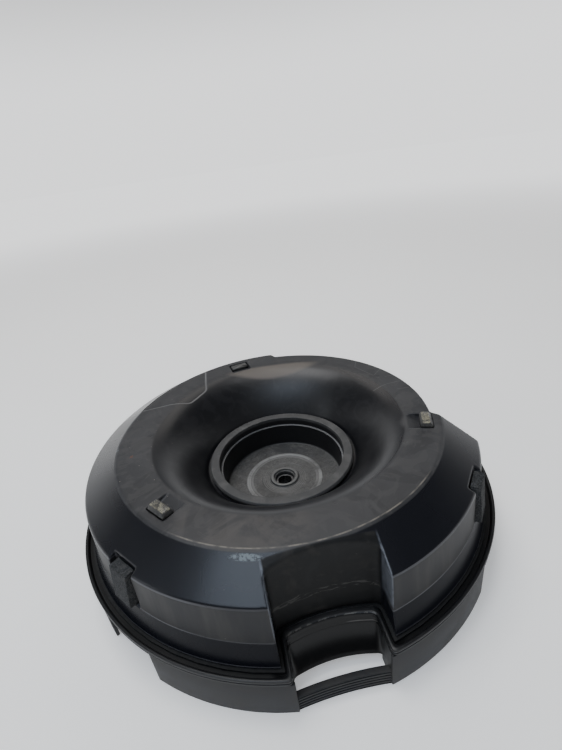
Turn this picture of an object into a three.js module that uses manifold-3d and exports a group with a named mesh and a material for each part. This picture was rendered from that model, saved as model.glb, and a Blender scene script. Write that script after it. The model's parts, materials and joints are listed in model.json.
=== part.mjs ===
// Spare-wheel-well subwoofer enclosure, lying wheel side up on the skirt of its cover side.
// Millimetres, +Z up. The origin is on the wheel axis, at the foot of the skirt.
// Angles are degrees around +Z: the grip notch faces -Y (-90) and the cable recess spans the +X side.

import * as THREE from "three";
import { mergeVertices } from "three/addons/utils/BufferGeometryUtils.js";
import Module from "manifold-3d";

const wasm = await Module();
wasm.setup();

// ---- Driving dimensions -------------------------------------------------------------------

const gap = 0.3; // clearance left between neighbouring pieces
const wall = 3; // moulded wall of both shells

// Rim, where the two shells meet
const rimRadius = 205;
const rimTop = 41;
const rimPlateTop = 37;
const lipWidth = 3.5;
const grooveWidth = 3.2; // dark gap between the lip and the wheel-side shell
const sealHeight = 1.7;

// Wheel-side shell, from its foot up to the crown
const slopeTop = 59.5;
const waistInset = 5.5; // how far the slope leans in above the foot
const shoulderHeight = 93.5;
const shoulderInset = 6.8;
const crownHeight = 111.7;
const crownRadius = 156;
const dishTopRadius = 133;
const dishFootRadius = 77;
const dishFootHeight = 65.6;

// Cover-side shell
const skirtWall = 2.7;
const skirtInset = 0.8;
const coverFace = 10; // underside of the cover, above the floor
const tubFootRadius = 184;
const tubHeadRadius = 188;

// Centre cup
const cupWall = 2.4;
const cupRingOuter = 74.6;
const cupRingInner = 64.5;
const cupRingHeight = 5.9;
const cupStep = 4; // the seat inside the ring lies this far below the ring's foot
const cupFloor = 37.7;
const cupFloorRadius = 60.5;
const cupMouthRadius = 62;
const boltRadius = 7.2;
const bushWall = 2.5;
const bossHeight = 2.3;
const bossWall = 5;

// Grip notch at the front
const notchHalfWidth = 34.8;
const notchBack = 166;
const notchBow = 4.5; // how far the back wall bows towards the axis
const notchCorner = 6;
const notchLean = 0.45; // outward lean of the cover-side back wall, per mm of depth
const notchCornerBow = 0.2; // share of the bow that the back wall has reached at its corners
const notchMiddleBow = 0.9;
const gripFace = 198; // distance from the axis to the strip's ribbed face
const gripBow = 2;
const gripHeight = 16;
const gripDepth = 5;
const gripGroove = 1.6;
const gripRibs = 5;

// Cable recess, a sector of the wheel-side shell whose sides open outwards
const recessFrom = -15.3;
const recessTo = 80;
const recessFlare = 12; // degrees that each side has opened by at the cutter's edge
const recessBack = 149;
const recessFloor = 46;

// Foam blocks on the shoulder, and the skirt gaps below them
const blockAngles = [-140, -40];
const skirtGapAngles = [-140, -40, 40, 140];
const blockWidth = 23;
const blockInner = 182.5;
const blockHeight = 34.8;
const pocketMargin = 2.5;
const skirtGapAngle = 16.6;

// Support pads on the crown
const padAngles = [-141, -21, 99];
const padRadius = 143;
const padLength = 22;
const padWidth = 11;
const padHeights = [7.5, 7.5, 4]; // the last pad is worn down to the crown
const padSocketDepth = 4;
const rampLength = 13;

// Bass driver, hung in a well of the cover
const driverAngle = 135;
const driverWallGap = 1; // from the basket to the inside of the tub's head
const wellClearance = 4;
const wellFloor = 22; // underside of the plate that the basket is screwed to
const basketRadius = 61;
const basketFlange = 7;
const basketPlate = 3;
const basketDepth = 27.5;
const basketBackRadius = 41;
const basketSheet = 1.6;
const surroundWidth = 11;
const formerRadius = 12.8;
const formerWall = 0.5;
const coilHeight = 9;
const coilWall = 0.9;
const poleClearance = 0.4;
const topPlateHeight = 5;
const magnetRadius = 41;
const magnetBore = 20;
const magnetHeight = 14;
const backPlateHeight = 4;
const grilleHeight = 3;

// Reflex port
const portAngle = 45;
const portOffset = 118;
const portBore = 21;
const portWall = 2.2;
const portTop = 70;

// Amplifier
const ampAngle = -45;
const ampOffset = 124;
const ampLength = 96;
const ampWidth = 74;
const ampPlate = 2.5;
const ampOverlap = 6; // how far the plate covers the edge of its opening
const finHeight = 5;
const finCount = 9;
const boardHeight = 1.6;
const boardLift = 8;
const socketLength = 30;
const socketWidth = 14;
const socketHeight = 13;

// Fasteners, harness and wadding
const screwRadius = 1.8;
const screwHeadRadius = 3.6;
const screwHeadHeight = 2.2;
const postRadius = 5;
const postRingRadius = 172;
const postAngles = [-165, -115, -65, 22, 68, 104];
const postScrewLength = 14;
const harnessRadius = 2.6;
const harnessRing = 112;
const harnessLevel = 46;
const waddingFrom = -160;
const waddingTo = -112;
const waddingInner = 112;
const waddingOuter = 164;
const waddingHeight = 34;

const roundSegments = 60;
const smallSegments = 28;
const screwSegments = 8;

// ---- Sizes worked out from them -----------------------------------------------------------

const radians = THREE.MathUtils.degToRad;
const lipRadius = rimRadius - lipWidth;
const footRadius = lipRadius - grooveWidth - 2.5;
const waistRadius = footRadius - waistInset;
const shoulderRadius = footRadius - shoulderInset;
const sealFoot = rimPlateTop + gap;
const shellFoot = sealFoot + sealHeight + gap;
const plateFoot = rimPlateTop - wall;
const coverTop = coverFace + wall;
const wellTop = wellFloor + wall;
const notchInset = lipWidth + grooveWidth;
const cupRingFoot = dishFootHeight + gap;
const cupRingTop = cupRingFoot + cupRingHeight;
const cupUnderside = cupFloor - wall;
const bushRadius = boltRadius + bushWall;
const blockOuter = footRadius;
const skirtOuter = rimRadius - skirtInset;
const cutterReach = rimRadius + 20; // beyond everything that a side cut has to clear
const cutterTop = crownHeight + 10;
const wellRadius = basketRadius + wellClearance;
const cutoutRadius = basketRadius - basketFlange;
const driverOffset = tubHeadRadius - basketRadius - driverWallGap;
const coneRadius = cutoutRadius - surroundWidth;
const blockFoot = slopeTop + gap;
const coneFoot = wellFloor - basketPlate + 1;
const basketBack = wellFloor + basketDepth;
const topPlateFoot = basketBack + gap;
const magnetFoot = topPlateFoot + topPlateHeight + gap;
const backPlateFoot = magnetFoot + magnetHeight + gap;
const poleRadius = formerRadius - poleClearance;
const coilOuter = formerRadius + formerWall + gap + coilWall;
const grilleFoot = coverFace - grilleHeight;

// ---- Shape helpers ------------------------------------------------------------------------

const polar = (radius, angle) => [
  radius * Math.cos(radians(angle)),
  radius * Math.sin(radians(angle)),
];

function toSolid(source) {
  const bare = source.clone();
  bare.deleteAttribute("normal");
  bare.deleteAttribute("uv");
  const merged = mergeVertices(bare, 1e-4);
  const corners = merged.index.array;
  const kept = [];
  for (let i = 0; i < corners.length; i += 3) {
    const [a, b, c] = [corners[i], corners[i + 1], corners[i + 2]];
    if (a !== b && b !== c && c !== a) kept.push(a, b, c);
  }
  const vertProperties = new Float32Array(merged.attributes.position.array);
  const triVerts = new Uint32Array(kept);
  return new wasm.Manifold(new wasm.Mesh({ numProp: 3, vertProperties, triVerts }));
}

function toGeometry(solid) {
  const mesh = solid.getMesh();
  const geometry = new THREE.BufferGeometry();
  geometry.setAttribute("position", new THREE.BufferAttribute(mesh.vertProperties, 3));
  geometry.setIndex(new THREE.BufferAttribute(mesh.triVerts, 1));
  geometry.computeVertexNormals();
  return geometry;
}

// A closed outline of [radius, height] points, turned about the Z axis.
function turned(outline, segments = roundSegments) {
  const points = outline.map(([radius, height]) => new THREE.Vector2(radius, height));
  if (THREE.ShapeUtils.area(points) < 0) points.reverse();
  points.push(points[0].clone());
  return new THREE.LatheGeometry(points, segments).rotateX(Math.PI / 2);
}

const ring = (inner, outer, foot, top, segments = roundSegments) =>
  turned([[inner, foot], [outer, foot], [outer, top], [inner, top]], segments);

const disc = (radius, foot, top, segments = roundSegments) =>
  new THREE.CylinderGeometry(radius, radius, top - foot, segments)
    .rotateX(Math.PI / 2)
    .translate(0, 0, (foot + top) / 2);

const box = (x, y, foot, top) =>
  new THREE.BoxGeometry(x, y, top - foot).translate(0, 0, (foot + top) / 2);

const placed = (geometry, radius, angle) =>
  geometry.rotateZ(radians(angle)).translate(...polar(radius, angle), 0);

const union = (geometries) =>
  geometries.map(toSolid).reduce((whole, next) => whole.add(next));

// The same path, moved sideways by a wall thickness with mitred corners.
function offsetPath(path, distance) {
  return path.map((point, i) => {
    const before = path[Math.max(i - 1, 0)];
    const after = path[Math.min(i + 1, path.length - 1)];
    const into = new THREE.Vector2(point[0] - before[0], point[1] - before[1]);
    const out = new THREE.Vector2(after[0] - point[0], after[1] - point[1]);
    if (i === 0) into.copy(out);
    if (i === path.length - 1) out.copy(into);
    into.normalize();
    out.normalize();
    const mitre = new THREE.Vector2(-into.y - out.y, into.x + out.x);
    mitre.multiplyScalar(distance / (1 + into.dot(out)));
    return [point[0] + mitre.x, point[1] + mitre.y];
  });
}

// Plan of a notch that opens towards -Y. Its back wall bows towards the axis.
function notchPlan(halfWidth, back, corner) {
  const side = -back - notchBow;
  const cornerY = side + notchBow * notchCornerBow;
  const plan = new THREE.Shape();
  plan.moveTo(-halfWidth, -cutterReach);
  plan.lineTo(halfWidth, -cutterReach);
  plan.lineTo(halfWidth, side - corner);
  plan.quadraticCurveTo(halfWidth, side, halfWidth - corner, cornerY);
  plan.quadraticCurveTo(0, -back + notchBow * notchMiddleBow, -halfWidth + corner, cornerY);
  plan.quadraticCurveTo(-halfWidth, side, -halfWidth, side - corner);
  return plan;
}

// The grip notch as a solid cutter, made larger all round by `grow`.
function notchCutter(grow, foot, top, lean = 0) {
  const plan = notchPlan(notchHalfWidth + grow, notchBack - grow, notchCorner);
  const options = { depth: top - foot, bevelEnabled: false, curveSegments: 6 };
  const geometry = new THREE.ExtrudeGeometry(plan, options).translate(0, 0, foot);
  const position = geometry.attributes.position;
  for (let i = 0; i < position.count; i += 1) {
    const drop = rimTop - position.getZ(i);
    if (position.getY(i) > -rimRadius) position.setY(i, position.getY(i) - drop * lean);
  }
  return toSolid(geometry);
}

// One side of the recess in plan, moved out by `grow`: a line from within the shell outwards.
function recessSide(angle, side, grow) {
  const foot = new THREE.Vector2(...polar(recessBack, angle));
  const end = new THREE.Vector2(...polar(cutterReach, angle + side * recessFlare));
  const along = end.clone().sub(foot).normalize();
  const shift = new THREE.Vector2(-along.y, along.x).multiplyScalar(side * grow);
  const start = foot.addScaledVector(along, -(crownRadius - dishTopRadius)).add(shift);
  return [start, end.add(shift)];
}

function recessCutter(grow) {
  const [nearStart, nearEnd] = recessSide(recessFrom, -1, grow);
  const [farStart, farEnd] = recessSide(recessTo, 1, grow);
  const plan = new THREE.Shape();
  plan.moveTo(nearStart.x, nearStart.y);
  plan.lineTo(nearEnd.x, nearEnd.y);
  plan.absarc(0, 0, cutterReach, nearEnd.angle() - 2 * Math.PI, farEnd.angle(), false);
  plan.lineTo(farEnd.x, farEnd.y);
  plan.lineTo(farStart.x, farStart.y);
  const options = { depth: cutterTop - recessFloor + grow, bevelEnabled: false, curveSegments: 24 };
  const sector = new THREE.ExtrudeGeometry(plan, options).translate(0, 0, recessFloor - grow);
  const core = disc(recessBack - grow, recessFloor - grow - 1, cutterTop + 1);
  return toSolid(sector).subtract(toSolid(core));
}

function pocketCutter(angle, grow) {
  const inner = blockInner - gap - grow;
  const outer = rimRadius + 10;
  const width = blockWidth + 2 * (pocketMargin + grow);
  const foot = slopeTop - grow;
  const geometry = box(outer - inner, width, foot, shoulderHeight + 8 + grow);
  return toSolid(placed(geometry, (inner + outer) / 2, angle));
}

// Recess that a support pad stands in: a socket, and a ramp that falls towards it.
function padSocketOutline(grow) {
  const half = padWidth / 2 + gap + grow;
  const foot = -padSocketDepth - grow;
  const socket = new THREE.Shape();
  socket.moveTo(-half, foot);
  socket.lineTo(half, foot);
  socket.lineTo(half, 4);
  socket.lineTo(-half - rampLength - grow, 4);
  socket.lineTo(-half - rampLength - grow, -grow);
  socket.lineTo(-half, foot);
  return socket;
}

function padSocketCutter(angle, grow) {
  const width = padLength + 2 * (gap + grow);
  const options = { depth: width, bevelEnabled: false };
  const geometry = new THREE.ExtrudeGeometry(padSocketOutline(grow), options)
    .translate(0, 0, -width / 2)
    .rotateX(Math.PI / 2)
    .translate(0, 0, crownHeight);
  return toSolid(placed(geometry, padRadius, angle));
}

// ---- Materials ----------------------------------------------------------------------------

const finish = (color, roughness, metalness = 0) =>
  new THREE.MeshStandardMaterial({ color, roughness, metalness });

const shellPlastic = finish(0x202125, 0.38);
const coverPlastic = finish(0x2a2b2e, 0.55);
const cupPlastic = finish(0x3b3b3d, 0.6);
const foam = finish(0x26282b, 0.95);
const rubber = finish(0x161616, 0.8);
const steel = finish(0x9a9b9e, 0.35, 0.9);
const zincScrew = finish(0x3a3a3c, 0.4, 0.8);
const ferrite = finish(0x2b2b2d, 0.7, 0.2);
const paper = finish(0x1b1b1c, 0.85);
const copper = finish(0xb06a3a, 0.35, 0.9);
const clothSpider = finish(0xb3903f, 0.9);
const castAlloy = finish(0x55575a, 0.5, 0.8);
const circuitBoard = finish(0x1f4a2c, 0.5);
const socketPlastic = finish(0x151516, 0.5);
const wool = finish(0xd8d6cf, 1);

const enclosure = new THREE.Group();

function addPiece(name, shape, material, parent = enclosure) {
  const geometry = shape.isBufferGeometry ? shape : toGeometry(shape);
  const mesh = new THREE.Mesh(geometry, material.clone());
  mesh.name = name;
  parent.add(mesh);
  return mesh;
}

// ---- Wheel-side shell ---------------------------------------------------------------------

// The dish is a parabola, from the flat crown down to the foot beside the cup.
function dishPath(steps) {
  const path = [];
  for (let i = 0; i <= steps; i += 1) {
    const share = i / steps;
    const radius = dishTopRadius - (dishTopRadius - dishFootRadius) * share;
    const height = crownHeight - (crownHeight - dishFootHeight) * share ** 2;
    path.push([radius, height]);
  }
  return path;
}

function wheelSideShell() {
  const ledgeInner = cupMouthRadius + cupWall + 2 * gap;
  const outside = [
    [footRadius, shellFoot],
    [footRadius, rimTop],
    [waistRadius, slopeTop],
    [shoulderRadius, shoulderHeight],
    [crownRadius, crownHeight],
    ...dishPath(7),
    [ledgeInner, dishFootHeight],
  ];
  const inside = offsetPath(outside, wall);
  const below = shellFoot - 5;
  inside[0] = [inside[0][0], below];
  const last = inside.length - 1;
  inside[last] = [ledgeInner - 5, inside[last][1]];
  let body = toSolid(turned([...outside, [ledgeInner, shellFoot]]));
  let hollow = toSolid(turned([...inside, [ledgeInner - 5, below]]));

  body = body.subtract(notchCutter(notchInset, 0, cutterTop)).subtract(recessCutter(0));
  hollow = hollow
    .subtract(notchCutter(notchInset + wall, 0, cutterTop))
    .subtract(recessCutter(wall));
  for (const angle of blockAngles) {
    body = body.subtract(pocketCutter(angle, 0));
    hollow = hollow.subtract(pocketCutter(angle, wall));
  }
  for (const angle of padAngles) {
    body = body.subtract(padSocketCutter(angle, 0));
    hollow = hollow.subtract(padSocketCutter(angle, wall));
  }
  let shell = body.subtract(hollow);
  const postRoom = body.add(toSolid(disc(tubHeadRadius - wall, coverTop + gap, shellFoot + 1)));
  for (const angle of postAngles) {
    const post = disc(postRadius, coverTop + gap, crownHeight, screwSegments);
    const pilotTop = coverTop + postScrewLength + 2;
    const pilot = disc(screwRadius + gap, coverTop - 1, pilotTop, screwSegments);
    shell = shell
      .add(toSolid(post.translate(...polar(postRingRadius, angle), 0)).intersect(postRoom))
      .subtract(toSolid(pilot.translate(...polar(postRingRadius, angle), 0)));
  }
  return shell;
}

// ---- Cover-side shell ---------------------------------------------------------------------

function screwHoles(foot, top) {
  return postAngles.map((angle) => {
    const hole = disc(screwRadius + gap, foot, top, screwSegments);
    return hole.translate(...polar(postRingRadius, angle), 0);
  });
}

function coverSideShell() {
  const slant = (tubHeadRadius - tubFootRadius) / (plateFoot - coverFace);
  const insideFoot = tubFootRadius - wall + slant * wall;
  const tub = turned([
    [0, coverFace],
    [tubFootRadius, coverFace],
    [tubHeadRadius, plateFoot],
    [0, plateFoot],
  ]);
  const rim = turned([
    [0, plateFoot],
    [skirtOuter, plateFoot],
    [skirtOuter, plateFoot + 1.5],
    [rimRadius, plateFoot + 2.5],
    [rimRadius, rimTop - 0.8],
    [rimRadius - 0.8, rimTop],
    [0, rimTop],
  ]);
  const skirt = ring(skirtOuter - skirtWall, skirtOuter, 0, plateFoot + 0.5);
  let shell = union([tub, rim, skirt]);

  const hollow = toSolid(turned([
    [0, coverTop],
    [insideFoot, coverTop],
    [tubHeadRadius - wall, plateFoot],
    [0, plateFoot],
  ]));
  const mouth = toSolid(disc(tubHeadRadius - 1, plateFoot - 1, rimPlateTop + 1));
  const channel = toSolid(disc(lipRadius, rimPlateTop, rimTop + 1));
  const mouthGrow = notchInset + wall + 4;
  shell = shell
    .subtract(notchCutter(0, -1, rimTop + 2, notchLean))
    .subtract(hollow.subtract(notchCutter(wall, -1, rimTop + 2, notchLean)))
    .subtract(mouth.subtract(notchCutter(mouthGrow, -1, rimTop + 2)))
    .subtract(channel.subtract(notchCutter(lipWidth, -1, rimTop + 2)));

  // Skirt gaps, and the walls that close the skirt's ends beside the grip notch
  const gapWidth = 2 * rimRadius * Math.sin(radians(skirtGapAngle / 2));
  for (const angle of skirtGapAngles) {
    const opening = box(30, gapWidth, -1, plateFoot);
    shell = shell.subtract(toSolid(placed(opening, tubHeadRadius + 16, angle)));
  }
  const skirtEnd = Math.sqrt(skirtOuter ** 2 - (notchHalfWidth + skirtWall) ** 2);
  const tubEnd = Math.sqrt((tubHeadRadius - wall) ** 2 - notchHalfWidth ** 2);
  for (const side of [-1, 1]) {
    const returnWall = box(skirtWall, skirtEnd - tubEnd, 0, plateFoot + 0.5);
    const across = side * (notchHalfWidth + skirtWall / 2);
    shell = shell.add(toSolid(returnWall.translate(across, -(skirtEnd + tubEnd) / 2, 0)));
  }

  // Driver well
  const atDriver = (geometry) => toSolid(placed(geometry, driverOffset, driverAngle));
  const wellBody = disc(wellRadius + wall, coverFace + 0.5, wellTop, smallSegments);
  const wellHollow = disc(wellRadius, coverFace - 1, wellFloor, smallSegments);
  const cutout = disc(cutoutRadius, coverFace, wellTop + 1, smallSegments);
  const tubInside = toSolid(disc(tubHeadRadius - wall, coverFace, wellTop));
  shell = shell
    .add(atDriver(wellBody).intersect(tubInside))
    .subtract(atDriver(wellHollow))
    .subtract(atDriver(cutout));

  // Port, amplifier and bolt openings, and the tube that carries the cup
  const portHole = disc(portBore + portWall + gap, coverFace - 1, coverTop + 1, smallSegments);
  const ampInside = [ampWidth - 2 * ampOverlap, ampLength - 2 * ampOverlap];
  const ampOpening = box(...ampInside, coverFace - 1, coverTop + 1);
  const tubeTop = cupUnderside - gap;
  const centreTube = disc(bushRadius + gap + wall, coverTop - 0.5, tubeTop, smallSegments);
  const boltHole = disc(bushRadius + gap, coverFace - 1, cupUnderside + 1, smallSegments);
  shell = shell
    .add(toSolid(centreTube))
    .subtract(toSolid(placed(portHole, portOffset, portAngle)))
    .subtract(toSolid(placed(ampOpening, ampOffset, ampAngle)))
    .subtract(toSolid(boltHole));
  const holes = [...screwHoles(coverFace - 1, coverTop + 1), ...driverHoles(), ...ampHoles()];
  for (const hole of holes) {
    shell = shell.subtract(toSolid(hole));
  }
  return shell;
}

const driverScrewAngles = [45, 135, 225, 315];
const driverScrewRing = (basketRadius + cutoutRadius) / 2;
const ampScrewSpots = [[-1, -1], [1, -1], [1, 1], [-1, 1]].map(([across, along]) => [
  across * (ampWidth - ampOverlap) / 2,
  along * (ampLength - ampOverlap) / 2,
]);

function driverHoles() {
  return driverScrewAngles.map((angle) => {
    const hole = disc(screwRadius + gap, coverFace, wellTop + 1, screwSegments);
    hole.translate(...polar(driverScrewRing, angle), 0);
    return placed(hole, driverOffset, driverAngle);
  });
}

function ampHoles() {
  return ampScrewSpots.map(([across, along]) => {
    const hole = disc(screwRadius + gap, coverFace - 5, coverTop + 1, screwSegments);
    return placed(hole.translate(across, along, 0), ampOffset, ampAngle);
  });
}

addPiece("wheel_side_shell", wheelSideShell(), shellPlastic);
addPiece("cover_side_shell", coverSideShell(), coverPlastic);

// ---- Rim seal -----------------------------------------------------------------------------

const sealTop = sealFoot + sealHeight;
const sealOverhang = 2; // how far the seal stands out past the wall that rests on it
const sealOuter = toSolid(disc(footRadius + sealOverhang, sealFoot, sealTop))
  .subtract(notchCutter(notchInset - sealOverhang, 0, rimTop));
const sealInside = toSolid(disc(footRadius - wall - sealOverhang, sealFoot - 1, sealTop + 1))
  .subtract(notchCutter(notchInset + wall + sealOverhang, 0, rimTop));
addPiece("rim_seal", sealOuter.subtract(sealInside), rubber);

// ---- Centre cup and bush ------------------------------------------------------------------

const cup = turned([
  [bushRadius + gap, cupUnderside],
  [cupFloorRadius + cupWall, cupUnderside],
  [cupMouthRadius + cupWall, cupRingFoot - cupStep],
  [cupMouthRadius + cupWall, cupRingFoot],
  [cupRingOuter - 0.6, cupRingFoot],
  [cupRingOuter, cupRingTop - 0.8],
  [cupRingOuter - 0.8, cupRingTop],
  [cupRingInner, cupRingTop],
  [cupRingInner - 0.5, cupRingFoot - cupStep],
  [cupMouthRadius, cupRingFoot - cupStep],
  [cupFloorRadius, cupFloor],
  [bushRadius + bossWall, cupFloor],
  [bushRadius + bossWall - 0.8, cupFloor + bossHeight],
  [bushRadius + gap, cupFloor + bossHeight],
], 40);
addPiece("centre_cup", cup, cupPlastic);

const bush = turned([
  [boltRadius, coverFace - 2],
  [bushRadius + 5, coverFace - 2],
  [bushRadius + 5, coverFace - gap],
  [bushRadius, coverFace - gap],
  [bushRadius, cupUnderside],
  [boltRadius, cupUnderside],
], smallSegments);
addPiece("centre_bush", bush, steel);

// ---- Foam blocks and support pads ---------------------------------------------------------

blockAngles.forEach((angle, i) => {
  const depth = blockOuter - blockInner;
  const block = addPiece(`foam_block_${i + 1}`, box(depth, blockWidth, 0, blockHeight), foam);
  block.position.set(...polar(blockInner + depth / 2, angle), blockFoot);
  block.rotation.z = radians(angle);
});

function supportPad(height) {
  const half = padWidth / 2;
  const foot = -padSocketDepth + gap;
  const top = foot + height;
  const side = new THREE.Shape();
  side.moveTo(-half, foot);
  side.lineTo(half, foot);
  side.lineTo(half, top - 3);
  side.lineTo(half - 2.5, top);
  side.lineTo(-half + 1, top);
  side.lineTo(-half, top - 1);
  const options = { depth: padLength, bevelEnabled: false };
  return new THREE.ExtrudeGeometry(side, options)
    .translate(0, 0, -padLength / 2)
    .rotateX(Math.PI / 2);
}

padAngles.forEach((angle, i) => {
  const pad = addPiece(`support_pad_${i + 1}`, supportPad(padHeights[i]), rubber);
  pad.position.set(...polar(padRadius, angle), crownHeight);
  pad.rotation.z = radians(angle);
});

// ---- Ribbed grip strip --------------------------------------------------------------------

// A bowed band in plan, from the strip's face at `front` to `back`, both behind the face line.
function gripPlan(half, front, back) {
  const middle = -gripFace + gripBow;
  const end = -gripFace - gripBow;
  const plan = new THREE.Shape();
  plan.moveTo(-half, end + front);
  plan.quadraticCurveTo(0, middle + front, half, end + front);
  plan.lineTo(half, end + back);
  plan.quadraticCurveTo(0, middle + back, -half, end + back);
  return plan;
}

function gripStrip() {
  const half = notchHalfWidth - gap;
  const options = { bevelEnabled: false, curveSegments: 6 };
  const plan = gripPlan(half, 0, gripDepth);
  let strip = toSolid(new THREE.ExtrudeGeometry(plan, { ...options, depth: gripHeight }));
  const pitch = gripHeight / gripRibs;
  for (let i = 0; i < gripRibs; i += 1) {
    const groove = gripPlan(half + 1, -3, gripGroove);
    const cutter = new THREE.ExtrudeGeometry(groove, { ...options, depth: pitch / 2 });
    strip = strip.subtract(toSolid(cutter.translate(0, 0, pitch * (i + 0.3))));
  }
  return strip;
}

addPiece("grip_strip", gripStrip(), coverPlastic);

// ---- Bass driver --------------------------------------------------------------------------

const driver = new THREE.Group();
driver.position.set(...polar(driverOffset, driverAngle), 0);
driver.rotation.z = radians(driverAngle);
enclosure.add(driver);

function basket() {
  const frame = turned([
    [cutoutRadius - 4, wellFloor - basketPlate],
    [basketRadius, wellFloor - basketPlate],
    [basketRadius, wellFloor - gap],
    [cutoutRadius - 1.5, wellFloor - gap],
    [cutoutRadius - 2.5, wellTop + 2],
    [basketBackRadius + basketSheet, basketBack],
    [coilOuter + 4, basketBack],
    [coilOuter + 4, basketBack - basketSheet],
    [basketBackRadius, basketBack - basketSheet],
    [basketBackRadius + 1.5, basketBack - 11],
    [basketBackRadius - 4, basketBack - 11],
    [basketBackRadius - 4, basketBack - 12.5],
    [basketBackRadius + 1.7, basketBack - 12.5],
    [cutoutRadius - 4, wellTop + 2],
    [cutoutRadius - 4, wellFloor],
  ], smallSegments);
  let solid = toSolid(frame);
  for (let i = 0; i < 6; i += 1) {
    const window = box(30, 22, wellTop + 4, basketBack - 14.5);
    solid = solid.subtract(toSolid(placed(window, cutoutRadius - 4, i * 60 + 30)));
  }
  for (const angle of driverScrewAngles) {
    const hole = disc(screwRadius + gap, wellFloor - basketPlate - 1, wellFloor + 1, screwSegments);
    solid = solid.subtract(toSolid(hole.translate(...polar(driverScrewRing, angle), 0)));
  }
  return solid;
}

const coneNeck = basketBack - 16;
const coneInner = coilOuter + 0.4;

addPiece("driver_basket", basket(), castAlloy, driver);

const gasketTop = wellFloor - basketPlate - gap;
const gasketOuter = driverScrewRing - screwHeadRadius - gap;
const gasket = ring(cutoutRadius - 3.5, gasketOuter, gasketTop - 2, gasketTop, smallSegments);
addPiece("driver_gasket", gasket, rubber, driver);

const topPlateTop = topPlateFoot + topPlateHeight;
const plateRadius = basketBackRadius - 2;
const topPlate = ring(coilOuter + 0.5, plateRadius, topPlateFoot, topPlateTop, smallSegments);
addPiece("driver_top_plate", topPlate, steel, driver);
const magnet = ring(magnetBore, magnetRadius, magnetFoot, magnetFoot + magnetHeight, smallSegments);
addPiece("driver_magnet", magnet, ferrite, driver);

const backPlate = turned([
  [0, topPlateFoot],
  [poleRadius, topPlateFoot],
  [poleRadius, backPlateFoot],
  [plateRadius, backPlateFoot],
  [plateRadius, backPlateFoot + backPlateHeight - 1],
  [plateRadius - 1, backPlateFoot + backPlateHeight],
  [0, backPlateFoot + backPlateHeight],
], smallSegments);
addPiece("driver_back_plate", backPlate, steel, driver);

const coneRim = coneFoot + 1.6;
const cone = turned([
  [coneInner, coneNeck],
  [coneRadius - 6, coneRim],
  [coneRadius, coneRim],
  [coneRadius, coneRim + 1],
  [coneRadius - 5.4, coneRim + 1.1],
  [coneInner, coneNeck + 1.3],
], smallSegments);
addPiece("driver_cone", cone, paper, driver);

const formerTop = topPlateTop + 3;
const former = ring(formerRadius, formerRadius + formerWall, coneNeck, formerTop, smallSegments);
addPiece("coil_former", former, paper, driver);

const coilFoot = topPlateFoot + (topPlateHeight - coilHeight) / 2;
const coilInner = formerRadius + formerWall + gap;
const voiceCoil = ring(coilInner, coilOuter, coilFoot, coilFoot + coilHeight, smallSegments);
addPiece("voice_coil", voiceCoil, copper, driver);

const capRadius = coneInner + 3;
const capFoot = coneNeck - 4.2;
const domeArc = (radius, rise, foot, steps = 3) =>
  Array.from({ length: steps + 1 }, (_, i) => {
    const turn = (i / steps) * (Math.PI / 2);
    return [radius * Math.cos(turn), foot - rise * Math.sin(turn)];
  });
const capOutside = domeArc(capRadius, 6, capFoot);
const capInside = domeArc(capRadius - 1, 5, capFoot).reverse();
const cap = turned([...capOutside, ...capInside], smallSegments);
addPiece("dust_cap", cap, paper, driver);

// The surround is a half roll that bulges towards the grille.
function halfRoll(inner, outer, level, thickness, steps = 3) {
  const middle = (inner + outer) / 2;
  const half = (outer - inner) / 2 - 1;
  const arc = (radius) =>
    Array.from({ length: steps + 1 }, (_, i) => {
      const turn = Math.PI + (i / steps) * Math.PI;
      return [middle + radius * Math.cos(turn), level + radius * Math.sin(turn)];
    });
  const top = level + thickness;
  const outside = [[inner, level], ...arc(half), [outer, level]];
  const inside = [[outer, top], ...arc(half - thickness).reverse(), [inner, top]];
  return turned([...outside, ...inside], smallSegments);
}

const surround = halfRoll(coneRadius - 4, cutoutRadius - 4 - gap, coneFoot, 0.9);
addPiece("driver_surround", surround, rubber, driver);

// The spider is a corrugated disc from the coil former to the basket ledge.
function spider() {
  const inner = coilOuter + gap;
  const outer = basketBackRadius - 1;
  const level = basketBack - 13.6;
  const waves = 4;
  const upper = [];
  for (let i = 0; i <= waves; i += 1) {
    const radius = inner + ((outer - inner) * i) / waves;
    const lift = i === 0 || i === waves ? 0 : (i % 2 ? -1 : 0.2);
    upper.push([radius, level + lift]);
  }
  const lower = upper.map(([radius, height]) => [radius, height - 0.7]).reverse();
  return turned([...upper, ...lower], smallSegments);
}
addPiece("driver_spider", spider(), clothSpider, driver);

const terminalReach = cutoutRadius + 1;
const terminalDepth = 6;
const terminalFoot = wellTop + 6;
const terminal = box(16, terminalDepth, terminalFoot, terminalFoot + 8).translate(0, terminalReach, 0);
addPiece("driver_terminal", terminal, socketPlastic, driver);

// The grille fills the mouth of the well.
function grille() {
  const radius = wellRadius - gap;
  let plate = toSolid(disc(radius, grilleFoot, grilleFoot + 2, smallSegments));
  const rimBand = ring(radius - 2.5, radius, grilleFoot, wellFloor - basketPlate - 2, smallSegments);
  plate = plate.add(toSolid(rimBand));
  const slotPitch = 9;
  const slotCount = 11;
  for (let i = 0; i < slotCount; i += 1) {
    const across = (i - (slotCount - 1) / 2) * slotPitch;
    const reach = Math.sqrt((radius - 9) ** 2 - across ** 2);
    for (const side of [-1, 1]) {
      const slot = box(5, reach - 2, grilleFoot - 1, grilleFoot + 3);
      plate = plate.subtract(toSolid(slot.translate(across, side * (reach + 2) / 2, 0)));
    }
  }
  return plate;
}
addPiece("driver_grille", grille(), socketPlastic, driver);

// ---- Reflex port --------------------------------------------------------------------------

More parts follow.
